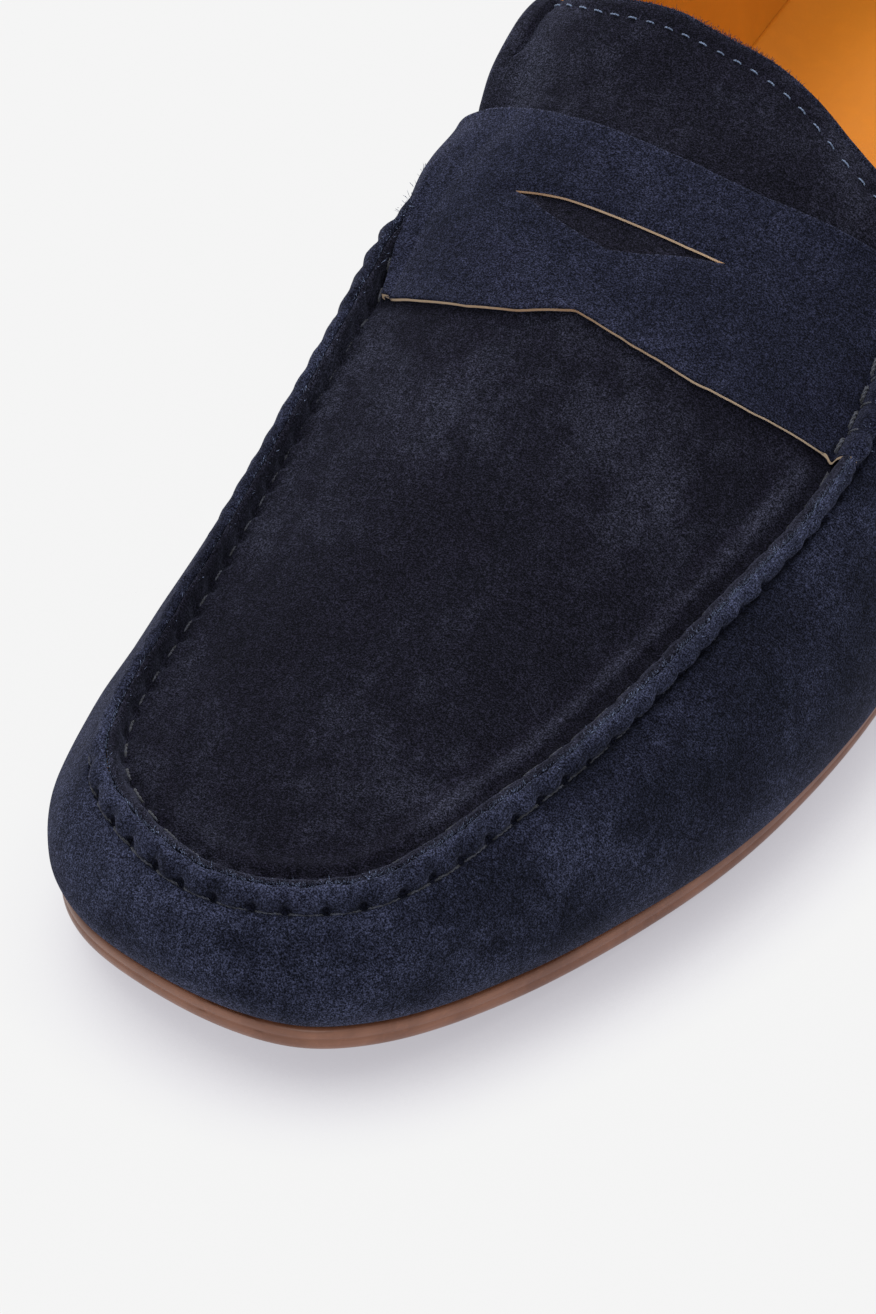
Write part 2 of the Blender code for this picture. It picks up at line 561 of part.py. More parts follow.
# saddle strap over the apron, its ends turned up into the ridge, with the slot cut through it
front, back = np.array(STRAP_EDGE), np.array(STRAP_BACK)
strap_mid = GAP + 0.1 + SUEDE / 2
strap = []
for f in np.linspace(0, 1, 7):
    y0, y1 = front[0, 1] * (1 - f) + back[0, 1] * f, front[-1, 1] * (1 - f) + back[-1, 1] * f
    a, b = float(u_at(y0, -1)), float(u_at(y1, 1))
    pa, pb = by_crest(np.array(a), -4.4, 0.0), by_crest(np.array(b), -4.4, 0.0)
    q = ACROSS
    x = pa[0] * (1 - q) + pb[0] * q
    line = lambda x: (1 - f) * np.interp(x, front[:, 0], front[:, 1]) + f * np.interp(x, back[:, 0], back[:, 1])
    y = line(x) + (pa[1] - line(pa[0])) * (1 - q) + (pb[1] - line(pb[0])) * q
    row = [by_crest(np.array(a), -2.95, 1.1), by_crest(np.array(a), -3.3, 0.0)] + list(top(x, y, strap_mid))
    row += [by_crest(np.array(b), -3.3, 0.0), by_crest(np.array(b), -2.95, 1.1)]
    strap.append(np.array(row))
strap_ob = layer("saddle_strap", np.array(strap), SUEDE, strap_suede)
slot = slab("slot_cutter", SLOT, 85.0, 40.0, strap_suede)
parts.objects.unlink(slot)
cutters.objects.link(slot)
slot.hide_render = True
slot.display_type = "WIRE"
strap_ob.modifiers.new("flat_faces", "TRIANGULATE")
cut = strap_ob.modifiers.new("slot", "BOOLEAN")
cut.operation = "DIFFERENCE"
cut.solver = "EXACT"
cut.object = slot

# quarters, meeting at the back seam under the backstay
VQ = np.array(VS)
for name, a, b in (("quarter_inner", U_SEAM[-1] + EDGE_GAP / 2, U_HEEL - 0.2),
                   ("quarter_outer", U_HEEL + 0.2, U_SEAM[1] + PERIOD - EDGE_GAP / 2)):
    layer(name, wall(between(REAR, a, b)[:, None], VQ[None, :], MID), SUEDE, suede)
UB = np.linspace(-1, 1, 7)
VB = np.array([0.0, 0.1, 0.2, 0.31, 0.42, 0.53, 0.65, 0.76, 0.86, 0.93, 1.0])
layer("backstay", wall(U_HEEL + UB[:, None] * (11.0 - 4.0 * VB[None, :]), VB[None, :], GAP + 0.6), 1.2, suede)

# stiffeners between the suede and the lining
COUNTER, TOE_STIFF = 1.1, 0.8
def stiffener(name, u, reach, thick):
    v = np.array([[0.03, VS[1], VS[2], r] for r in reach])
    layer(name, wall(u[:, None], v, -SUEDE - GAP - 0.1 - thick / 2), thick, stiff)


uc = between(REAR, float(u_feather(200, -1)), float(u_feather(200, 1)) + PERIOD)
stiffener("counter_stiffener", uc, 0.62 - 0.12 * np.abs((uc - uc.mean()) / (uc[-1] - uc.mean()))**3, COUNTER)
ut = between(FORE_U, float(u_feather(34, 1)), float(u_feather(34, -1)))
stiffener("toe_stiffener", ut, 0.64 - 0.12 * np.abs((ut - ut.mean()) / (ut[-1] - ut.mean()))**3, TOE_STIFF)


def lining_off(y):
    """Depth of the lining's middle surface below the outer face."""
    return -(SUEDE + GAP + 0.1 + LINING / 2) - (TOE_STIFF + GAP + 0.1) * (1 - step(38, 58, y)) - (COUNTER + GAP + 0.1) * step(176, 196, y)


def lining_wall(u, v):
    u, v = np.broadcast_arrays(np.asarray(u, float), np.asarray(v, float))
    return wall(u, v, lining_off(wall_face(u, v)[..., 1]))


# vamp lining: down one side, over under the apron and down the other
vl = np.array((0.04,) + VS[1:-1])
S7 = ACROSS
lining = []
for a, b in FORE[:-1] + [(FORE[-1][0] - 0.3, FORE[-1][1] + 0.3)]:
    pa, pb = seam(np.array(a)), seam(np.array(b))
    x, y = pa[0] * (1 - S7) + pb[0] * S7, pa[1] * (1 - S7) + pb[1] * S7
    inner = lining_wall(a, vl)
    outer = lining_wall(b, vl[::-1])
    over = top(x, y, lining_off(y))
    over[0, 2] -= 0.35
    over[-1, 2] -= 0.35
    lining.append(np.concatenate([inner, over, outer]))
lining = np.array(lining)
layer("vamp_lining", lining, LINING, lining_leather)

# tongue lining under the free part of the tongue
tongue = []
for f in (0.0, 0.33, 0.67, 1.0):
    x = np.linspace(-27.5, 26.0, 9)
    tongue.append(top(x, 152.4 * (1 - f) + (tongue_end(x) - 0.2) * f, -(SUEDE + GAP + LINING / 2)))
layer("tongue_lining", np.array(tongue), LINING, lining_leather)

# quarter linings and the heel grip between them
GRIP = 238.0
VL = np.array((0.04,) + VS[1:])
ug = {-1: float(u_feather(GRIP, -1)), 1: float(u_feather(GRIP, 1))}
for name, a, b in (("quarter_lining_inner", U_SEAM[-1] + 0.5, ug[-1] - 0.2), ("heel_grip", ug[-1] + 0.2, ug[1] + PERIOD - 0.2),
                   ("quarter_lining_outer", ug[1] + PERIOD + 0.2, U_SEAM[1] + PERIOD - 0.5)):
    layer(name, lining_wall(between(REAR, a, b)[:, None], VL[None, :]), LINING, lining_leather)

# ---------------------------------------------------------------- threads, laid clear of the leather
fine = GAP + 0.1 + FINE_THREAD
y_strap = {-1: front[0, 1], 1: front[-1, 1]}


def inner_row(u, side):
    """The row of the apron seam on the instep side: on the apron, then on the strap's turned-up end."""
    y = seam(np.array(u))[1]
    on = float(step(y_strap[side] - 8.0, y_strap[side] - 3.5, y))
    p = by_crest(np.array(u), -6.9, 0.0)
    high = top(p[0], p[1], 2 * GAP + 0.25 + SUEDE + THREAD)
    return by_crest(np.array(u), -3.35, -0.75) * (1 - on) + high * on


def even(u0, u1, fn):
    """Evenly spaced points every half stitch along a seam line."""
    u = np.linspace(u0, u1, 1200)
    p = fn(u)
    d = np.concatenate([[0], np.cumsum(np.linalg.norm(np.diff(p, axis=0), axis=1))])
    n = int(round(d[-1] / STITCH))
    return np.interp(np.linspace(0, d[-1], 2 * n + 1), d, u)


ua, ub = float(u_at(139.0, -1)), float(u_at(137.0, 1))
uo = even(ua, ub, crest)
outer_pts = by_crest(uo, 3.15 + 0.12 * (np.arange(len(uo)) % 2), -1.05 + 0 * uo)
turn = [by_crest(np.array(ub), 2.9, 0.8), by_crest(np.array(ub), 1.8, 2.1), by_crest(np.array(ub), -2.9, 2.7)]
inner_pts = [inner_row(u, 1 if u < U_TOE else -1) + UP * (0.12 * (i % 2)) for i, u in enumerate(uo[::-1])]
cord("apron_seam_thread", np.concatenate([outer_pts, turn, inner_pts]), THREAD, dark_thread)
xt = np.linspace(-27.0, 25.5, 37)
tt = top(xt, tongue_end(xt) - 3.2, fine + 0.1 * (np.arange(37) % 2))
cord("tongue_thread", tt, FINE_THREAD, pale_thread)
for name, a, b in (("topline_thread_inner", U_SEAM[-1] + 3.0, U_HEEL - 9.0), ("topline_thread_outer", U_SEAM[1] - 3.0, U_HEEL - PERIOD + 9.0)):
    ut2 = np.linspace(a, b, 2 * int(abs(b - a) / (2 * FINE_STITCH)) + 1)
    cord(name, wall(ut2, 0.95 + 0 * ut2, fine + 0.1 * (np.arange(len(ut2)) % 2)), FINE_THREAD, pale_thread)
vs = np.linspace(0.08, 0.93, 15)
down = lambda sgn, vv: wall(U_HEEL + sgn * (9.0 - 4.0 * vv), vv, GAP + 1.2 + fine + 0.1 * (np.arange(len(vv)) % 2))
bar = wall(U_HEEL + np.linspace(-4.6, 4.6, 7), 0.93, GAP + 1.2 + fine)
cord("backstay_thread", np.concatenate([down(-1, vs), bar, down(1, vs[::-1])]), FINE_THREAD, pale_thread)
for name, a in (("side_seam_thread_inner", U_SEAM[-1] + 2.2), ("side_seam_thread_outer", U_SEAM[1] - 2.2)):
    vs = np.linspace(0.06, 0.9, 15)
    cord(name, wall(a + 0 * vs, vs, fine + 0.1 * (np.arange(len(vs)) % 2)), FINE_THREAD, pale_thread)
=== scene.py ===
"""Looks of the penny loafer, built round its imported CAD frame."""
import math
import bpy
import bmesh
import numpy as np
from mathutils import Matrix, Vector


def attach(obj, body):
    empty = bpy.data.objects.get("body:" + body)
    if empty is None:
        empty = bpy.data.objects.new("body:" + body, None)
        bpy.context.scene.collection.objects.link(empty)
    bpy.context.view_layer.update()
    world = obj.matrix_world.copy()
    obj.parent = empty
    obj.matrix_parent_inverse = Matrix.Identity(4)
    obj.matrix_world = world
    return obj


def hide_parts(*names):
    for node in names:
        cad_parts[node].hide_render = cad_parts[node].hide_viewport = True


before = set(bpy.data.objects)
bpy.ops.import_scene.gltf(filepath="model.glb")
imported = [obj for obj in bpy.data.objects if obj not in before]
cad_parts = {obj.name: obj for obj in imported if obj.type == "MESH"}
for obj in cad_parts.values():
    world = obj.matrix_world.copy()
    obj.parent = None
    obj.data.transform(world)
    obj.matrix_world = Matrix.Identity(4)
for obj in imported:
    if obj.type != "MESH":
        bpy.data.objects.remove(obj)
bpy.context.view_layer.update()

# ---------------------------------------------------------------- driving dimensions (mm)
OBJECT = "penny_loafer"
SUEDE = 1.5              # thickness of the outer suede
LINING = 0.8             # thickness of the lining leather
GAP = 0.3                # clearance between neighbouring pieces
SOLE = 4.5               # thickness of the outsole
SOLE_LIP = 1.2           # how far the bottom edge of the sole is drawn in
HEEL_FRONT = 230.0       # y of the heel breast
HEEL_TOP = 16.5          # feather height over the heel
LIFT_FACES = ((11.4, 8.0), (7.7, 4.3), (4.0, 0.0))   # top and bottom of the two heel lifts and the top piece
RIDGE_HALF = 2.5         # crest of the apron seam to its foot, across
RIDGE_RISE = 2.4         # crest of the apron seam above its foot
SEAM_IN = 3.0            # crest to the recessed edge of the apron, across
SEAM_DOWN = 2.3          # and down
RIDGE_END = (114.0, 140.0)   # y where the raised seam runs out, inner and outer side
SIDE_SEAM = 152.0        # y of the vamp to quarter seam
CROWN_POWER = 2.4        # squareness of the instep's cross-section
SHOULDER = 1.0           # how much squarer its inner side gets up the instep
STITCH = 5.0             # apron seam stitch
THREAD = 0.45            # apron seam thread radius
FINE_STITCH = 3.0        # topline stitch
FINE_THREAD = 0.28       # topline thread radius
STRAP_EDGE = ((-33.0, 108.4), (-24.4, 106.6), (-16.7, 106.0), (-9.4, 107.0), (-1.5, 110.2), (9.0, 108.7), (18.0, 108.4), (26.4, 110.0),
              (36.9, 113.4), (42.0, 116.5))                           # front edge of the strap
STRAP_BACK = ((-37.0, 143.6), (-29.5, 142.6), (-19.0, 140.6), (-7.0, 139.9), (9.0, 139.7), (19.5, 141.0), (30.3, 142.2), (38.0, 142.6))   # back edge
SLOT = ((-21.4, 126.4), (-18.5, 125.5), (-14.7, 123.7), (-10.3, 122.3), (-5.8, 121.4), (-1.8, 120.8), (2.7, 122.5), (7.6, 124.5),
        (13.6, 127.0), (17.0, 128.2), (8.5, 127.1), (-2.0, 127.0), (-12.0, 126.8))   # plan outline of the slot, point toward the toe
TONGUE_EDGE = ((-36.0, 167.5), (-34.0, 166.6), (-31.0, 165.0), (-28.0, 163.1), (-24.8, 161.9), (-20.0, 161.0), (-12.0, 161.2), (0.0, 160.8), (6.6, 160.0), (10.5, 159.2), (13.6, 158.2), (16.8, 157.0),
               (20.5, 155.6), (30.0, 153.6))                          # free edge of the tongue

# Stations round the inner side from toe to heel, then the outer side. Each: crest or topline x, y, z; feather x, y;
# how full the side is low down (out, up) and high up (out, down).
INNER = (
    (-1.0, 7.2, 28.5, 0.5, 0.0, 5.0, 6.0, 5.0, 3.0),
    (-11.0, 8.2, 28.7, -13.0, 2.2, 5.0, 6.0, 5.0, 3.0),
    (-20.5, 12.6, 29.1, -24.0, 6.3, 5.0, 6.0, 4.5, 3.0),
    (-27.8, 19.0, 29.8, -31.5, 12.5, 5.0, 6.5, 4.5, 3.0),
    (-31.2, 29.5, 31.2, -37.2, 22.5, 5.0, 7.0, 4.5, 4.0),
    (-32.2, 45.0, 34.0, -41.8, 38.5, 4.5, 8.0, 4.0, 5.0),
    (-33.2, 65.0, 38.0, -44.3, 61.0, 4.0, 9.0, 4.0, 6.0),
    (-34.3, 85.0, 42.6, -44.8, 84.0, 4.5, 10.0, 4.5, 7.0),
    (-35.0, 107.0, 49.2, -42.0, 108.0, 6.5, 12.0, 4.5, 8.0),
    (-36.9, 128.0, 53.9, -37.9, 130.0, 8.5, 14.0, 4.0, 10.0),
    (-37.2, 143.0, 57.9, -33.8, 148.0, 9.0, 15.0, 3.0, 12.0),
    (-35.2, 160.0, 65.3, -29.5, 166.0, 9.0, 16.0, 2.5, 14.0),
    (-33.2, 182.0, 61.5, -26.5, 188.0, 8.0, 15.0, 1.5, 14.0),
    (-32.0, 205.0, 56.5, -26.2, 210.0, 6.5, 12.0, 1.5, 12.0),
    (-30.5, 228.0, 53.0, -28.0, 230.0, 5.0, 10.0, 2.0, 11.0),
    (-27.0, 252.0, 53.5, -29.0, 254.0, 4.0, 10.0, 3.0, 11.0),
    (-18.0, 274.5, 57.5, -21.5, 277.0, 4.0, 12.0, 3.5, 12.0),
    (4.0, 288.0, 61.0, 4.0, 291.5, 4.0, 13.0, 4.5, 14.0),
)
OUTER = (
    (7.5, 9.4, 28.8, 12.0, 1.5, 5.0, 6.0, 5.0, 3.0),
    (16.0, 15.0, 29.2, 20.5, 7.6, 5.0, 6.0, 5.0, 3.0),
    (21.5, 24.5, 29.9, 26.0, 15.0, 5.0, 6.0, 5.5, 3.0),
    (25.3, 35.5, 30.7, 32.3, 27.0, 5.5, 6.0, 7.0, 3.0),
    (30.0, 49.5, 32.0, 38.8, 44.0, 7.0, 6.5, 9.0, 3.0),
    (34.0, 67.0, 34.0, 44.6, 63.0, 8.5, 7.0, 11.0, 3.5),
    (37.5, 85.0, 36.7, 48.4, 84.0, 9.5, 8.0, 12.0, 4.0),
    (41.0, 105.0, 40.0, 49.8, 106.0, 9.5, 9.0, 10.0, 5.0),
    (41.5, 122.0, 44.5, 48.8, 124.0, 8.5, 10.0, 8.0, 7.0),
    (39.0, 138.0, 50.0, 46.4, 141.0, 7.5, 11.0, 5.5, 9.0),
    (36.0, 154.0, 54.5, 43.2, 159.0, 6.5, 12.0, 4.0, 11.0),
    (35.5, 174.0, 52.5, 40.0, 180.0, 6.0, 11.0, 3.0, 11.0),
    (36.5, 197.0, 49.0, 38.0, 202.0, 5.0, 10.0, 2.5, 10.0),
    (37.0, 222.0, 48.0, 37.3, 225.0, 4.5, 10.0, 2.5, 10.0),
    (34.5, 247.0, 50.5, 36.8, 250.0, 4.0, 10.0, 3.0, 11.0),
    (25.5, 273.0, 56.5, 29.0, 275.5, 4.0, 12.0, 3.5, 12.0),
)
FEATHER = ((-5, 12.0), (0, 11.6), (20, 9.0), (50, 6.0), (80, 4.8), (110, 4.8), (130, 6.2), (155, 9.6), (180, 12.9),
           (205, 15.4), (HEEL_FRONT, HEEL_TOP), (300, HEEL_TOP))      # feather height by y
CROWN = ((5, 26.0), (10, 26.5), (16, 28.2), (25, 30.8), (40, 34.6), (70, 43.0), (100, 51.8), (115, 56.4), (130, 60.6),
         (145, 65.6), (163, 72.6), (180, 79.0))                       # instep height on the middle line by y
CENTRE = (3.97, 146.62)    # plan centre of the finished shoe's box

# ---------------------------------------------------------------- the two surfaces
UP = np.array([0.0, 0.0, 1.0])


def smooth_table(knots):
    """A monotone cubic through (position, value) pairs."""
    k = np.array(knots, float)
    x, v = k[:, 0], k[:, 1]
    d = np.diff(v) / np.diff(x)
    m = np.zeros(len(x))
    m[0], m[-1] = d[0], d[-1]
    for i in range(1, len(x) - 1):
        if d[i - 1] * d[i] > 0:
            h0, h1 = x[i] - x[i - 1], x[i + 1] - x[i]
            w1, w2 = 2 * h1 + h0, h1 + 2 * h0
            m[i] = (w1 + w2) / (w1 / d[i - 1] + w2 / d[i])

    def f(q):
        q = np.clip(np.asarray(q, float), x[0], x[-1])
        i = np.clip(np.searchsorted(x, q) - 1, 0, len(x) - 2)
        h = x[i + 1] - x[i]
        t = (q - x[i]) / h
        return ((2 * t**3 - 3 * t**2 + 1) * v[i] + (t**3 - 2 * t**2 + t) * h * m[i]
                + (3 * t**2 - 2 * t**3) * v[i + 1] + (t**3 - t**2) * h * m[i + 1])
    return f


def ring_spline(t, P, period):
    """A smooth closed curve through the rows of P at parameters t."""
    n = len(t)
    tt = np.append(t, t[0] + period)
    h = np.diff(tt)
    A, B = np.zeros((n, n)), np.zeros((n, P.shape[1]))
    for i in range(n):
        a, b = (i - 1) % n, (i + 1) % n
        A[i, a] += h[a]
        A[i, i] += 2 * (h[a] + h[i])
        A[i, b] += h[i]
        B[i] = 6 * ((P[b] - P[i]) / h[i] - (P[i] - P[a]) / h[a])
    M = np.linalg.solve(A, B)

    def f(q):
        q = np.mod(np.asarray(q, float), period)
        i = np.clip(np.searchsorted(tt, q, side="right") - 1, 0, n - 1)
        j = (i + 1) % n
        hh, a, b = h[i][..., None], (tt[i + 1] - q)[..., None], (q - tt[i])[..., None]
        return (M[i] * a**3 + M[j] * b**3) / (6 * hh) + (P[i] / hh - M[i] * hh / 6) * a + (P[j] / hh - M[j] * hh / 6) * b
    return f


feather_z, crown_z, tongue_line = smooth_table(FEATHER), smooth_table(CROWN), smooth_table(TONGUE_EDGE)
ROWS = np.array(INNER + OUTER[::-1], float)
_mid = (ROWS[:, 0:2] + ROWS[:, 3:5]) / 2
_seg = np.linalg.norm(np.roll(_mid, -1, 0) - _mid, axis=1)
KNOT = np.concatenate([[0.0], np.cumsum(_seg)[:-1]])
PERIOD = float(_seg.sum())
U_HEEL = float(KNOT[len(INNER) - 1])
_rows = ring_spline(KNOT, ROWS, PERIOD)


def rows(u):
    """The station values at u, the topline drawn in by the strap on the inner side and eased out behind it."""
    r = np.array(_rows(u))
    y = r[..., 1]
    r[..., 0] += (r[..., 0] < 0) * (2.4 * np.exp(-((y - 143) / 6.3)**2) - 1.0 * np.exp(-((y - 163) / 7)**2))
    return r


def step(a, b, x):
    t = np.clip((np.asarray(x, float) - a) / (b - a), 0, 1)
    return t * t * (3 - 2 * t)


def outward(u):
    """Unit horizontal direction out of the shoe at u."""
    a, b = rows(np.asarray(u) - 0.5), rows(np.asarray(u) + 0.5)
    t = (b[..., 3:5] + b[..., 0:2]) - (a[..., 3:5] + a[..., 0:2])
    n = np.stack([-t[..., 1], t[..., 0]], -1)
    n = n / np.linalg.norm(n, axis=-1, keepdims=True)
    return np.concatenate([n, np.zeros(n.shape[:-1] + (1,))], -1)


def crest(u):
    return rows(u)[..., 0:3]


def ridge(u):
    """1 where the apron seam stands up, 0 along the topline."""
    c = crest(u)
    end = np.where(c[..., 0] < 0, RIDGE_END[0], RIDGE_END[1])
    return 1 - step(0, np.where(c[..., 0] < 0, 18, 10), c[..., 1] - end)


def by_crest(u, out, up):
    """A point out across and up from the crest."""
    return crest(u) + outward(u) * np.asarray(out, float)[..., None] + UP * np.asarray(up, float)[..., None]


def wall_face(u, v):
    r, n, k = rows(u), outward(u), ridge(u)[..., None]
    F = np.stack([r[..., 3], r[..., 4], feather_z(r[..., 4])], -1)
    C = r[..., 0:3] + k * (n * RIDGE_HALF - UP * RIDGE_RISE)
    P1 = F + n * r[..., 5:6] + UP * r[..., 6:7]
    P2 = C + n * (r[..., 7:8] - 1.5 * k) - UP * (r[..., 8:9] - 1.0 * k)
    v = np.asarray(v, float)[..., None]
    return (1 - v)**3 * F + 3 * (1 - v)**2 * v * P1 + 3 * (1 - v) * v**2 * P2 + v**3 * C


def wall(u, v, off=0.0):
    """The outer face of the sides, u round the shoe and v up from the feather edge, moved off along its normal."""
    u, v, off = np.broadcast_arrays(np.asarray(u, float), np.asarray(v, float), np.asarray(off, float))
    du = wall_face(u + 0.4, v) - wall_face(u - 0.4, v)
    dv = wall_face(u, np.minimum(v + 0.01, 1)) - wall_face(u, np.maximum(v - 0.01, 0))
    n = np.cross(du, dv)
    n = n / np.linalg.norm(n, axis=-1, keepdims=True)
    s = np.sign((n * outward(u)).sum(-1, keepdims=True) + 0.3 * n[..., 2:3])
    return wall_face(u, v) + n * s * off[..., None]


def seam(u):
    """The recessed line where the apron turns up into the ridge."""
    k = ridge(u)
    return by_crest(u, -SEAM_IN + 0 * k, -SEAM_DOWN * k - 0.4 * (1 - k))


_uu = np.linspace(U_HEEL - PERIOD, U_HEEL, 4001)
_ss = seam(_uu)
_i0 = int(np.argmin(_ss[:, 1]))
U_TOE = float(_uu[_i0])
_side = {1: (_uu[:_i0 + 1][::-1], _ss[:_i0 + 1][::-1]), -1: (_uu[_i0:], _ss[_i0:])}
_side = {k: (u, s, np.maximum.accumulate(s[:, 1] + np.arange(len(u)) * 1e-9)) for k, (u, s) in _side.items()}


def seam_at(y, side):
    """x and z of the recessed line at y; side -1 inner, 1 outer."""
    u, s, yy = _side[side]
    return np.interp(y, yy, s[:, 0]), np.interp(y, yy, s[:, 2])


def u_at(y, side):
    """u where the recessed line passes y."""
    u, s, yy = _side[side]
    return np.interp(y, yy, u)


def u_feather(y, side):
    """u where the feather edge passes y on the side given."""
    u = np.linspace(0, U_HEEL, 900) if side < 0 else np.linspace(0, U_HEEL - PERIOD, 900)
    return np.interp(y, np.maximum.accumulate(rows(u)[:, 4]), u)


def top_z(x, y):
    (xm, zm), (xl, zl) = seam_at(y, -1), seam_at(y, 1)
    w = np.maximum(xl - xm, 1e-3)
    s = np.clip((2 * x - xm - xl) / w, -1.15, 1.15)
    return zm * (1 - s) / 2 + zl * (1 + s) / 2 + (crown_z(y) - (zm + zl) / 2) * (1 - np.abs(s)**np.where(s < 0, CROWN_POWER + SHOULDER * step(95, 140, y), CROWN_POWER))


def top(x, y, off=0.0):
    """The outer face of the instep at plan point x, y, moved off along its normal."""
    x, y, off = np.broadcast_arrays(np.asarray(x, float), np.asarray(y, float), np.asarray(off, float))
    zx = (top_z(x + 0.5, y) - top_z(x - 0.5, y))
    zy = (top_z(x, y + 0.5) - top_z(x, y - 0.5))
    n = np.stack([-zx, -zy, np.ones_like(zx)], -1)
    n = n / np.linalg.norm(n, axis=-1, keepdims=True)
    return np.stack([x, y, top_z(x, y)], -1) + n * off[..., None]



U_SEAM = {-1: float(u_at(SIDE_SEAM, -1)), 1: float(u_at(SIDE_SEAM, 1))}

def spaced(a, b, n, tight=0.0):
    """n values from a to b, closer together where the outline turns round the toe."""
    t = np.linspace(0, 1, 400)
    u = a + (b - a) * t
    o = outward(u)
    turn = np.concatenate([[0], np.linalg.norm(np.diff(o[:, :2], axis=0), axis=1)])
    w = np.cumsum(abs(b - a) / 400 + 26 * turn)
    return np.interp(np.linspace(w[0], w[-1], n), w, u)



def tongue_end(x):
    """y of the tongue's free edge across the shoe."""
    return tongue_line(x)



# ---------------------------------------------------------------- helpers
MM = 0.001
RNG = np.random.default_rng(7)


def to_world(P):
    """Design millimetres to the row's metres."""
    return (np.asarray(P, float) - np.array([CENTRE[0], CENTRE[1], 0.0])) * MM


def noise1(q, scale, seed):
    """Smooth random values along q, about -1 to 1."""
    r = np.random.default_rng(seed).uniform(-1, 1, 4096)
    t = np.asarray(q, float) / scale + 1000.0
    i = np.floor(t).astype(int)
    f = t - i
    f = f * f * (3 - 2 * f)
    return r[i % 4096] * (1 - f) + r[(i + 1) % 4096] * f


def noise2(x, y, scale, seed):
    """Smooth random values over a plane, about -1 to 1."""
    r = np.random.default_rng(seed).uniform(-1, 1, (256, 256))
    tx, ty = np.asarray(x, float) / scale + 500.0, np.asarray(y, float) / scale + 500.0
    i, j = np.floor(tx).astype(int), np.floor(ty).astype(int)
    fx, fy = tx - i, ty - j
    fx, fy = fx * fx * (3 - 2 * fx), fy * fy * (3 - 2 * fy)
    g = lambda a, b: r[a % 256, b % 256]
    return (g(i, j) * (1 - fx) + g(i + 1, j) * fx) * (1 - fy) + (g(i, j + 1) * (1 - fx) + g(i + 1, j + 1) * fx) * fy


def unit(v):
    return v / np.maximum(np.linalg.norm(v, axis=-1, keepdims=True), 1e-12)


def arc(P):
    return np.concatenate([[0.0], np.cumsum(np.linalg.norm(np.diff(P, axis=0), axis=1))])


def build(name, V, F, mats, replaces=(), fmat=None, attrs=None, smooth=True, merge=0.0):
    """One visible piece from millimetre points; attrs are per-vertex values read by the materials."""
    me = bpy.data.meshes.new(name)
    me.from_pydata([tuple(p) for p in to_world(V)], [], [tuple(f) for f in F])
    for key, val in (attrs or {}).items():
        at = me.attributes.new(key, "FLOAT", "POINT")
        at.data.foreach_set("value", np.asarray(val, np.float32))
    for m in mats:
        me.materials.append(m)
    if fmat is not None:
        me.polygons.foreach_set("material_index", np.asarray(fmat, np.int32))
    me.polygons.foreach_set("use_smooth", [smooth] * len(me.polygons))
    if merge:
        bm = bmesh.new()
        bm.from_mesh(me)
        bmesh.ops.remove_doubles(bm, verts=bm.verts, dist=merge * MM)
        bmesh.ops.dissolve_degenerate(bm, dist=merge * MM * 0.5, edges=bm.edges)
        bm.to_mesh(me)
        bm.free()
    me.update()
    ob = bpy.data.objects.new(name, me)
    bpy.context.scene.collection.objects.link(ob)
    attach(ob, "root")
    if replaces:
        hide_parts(*replaces)
    return ob


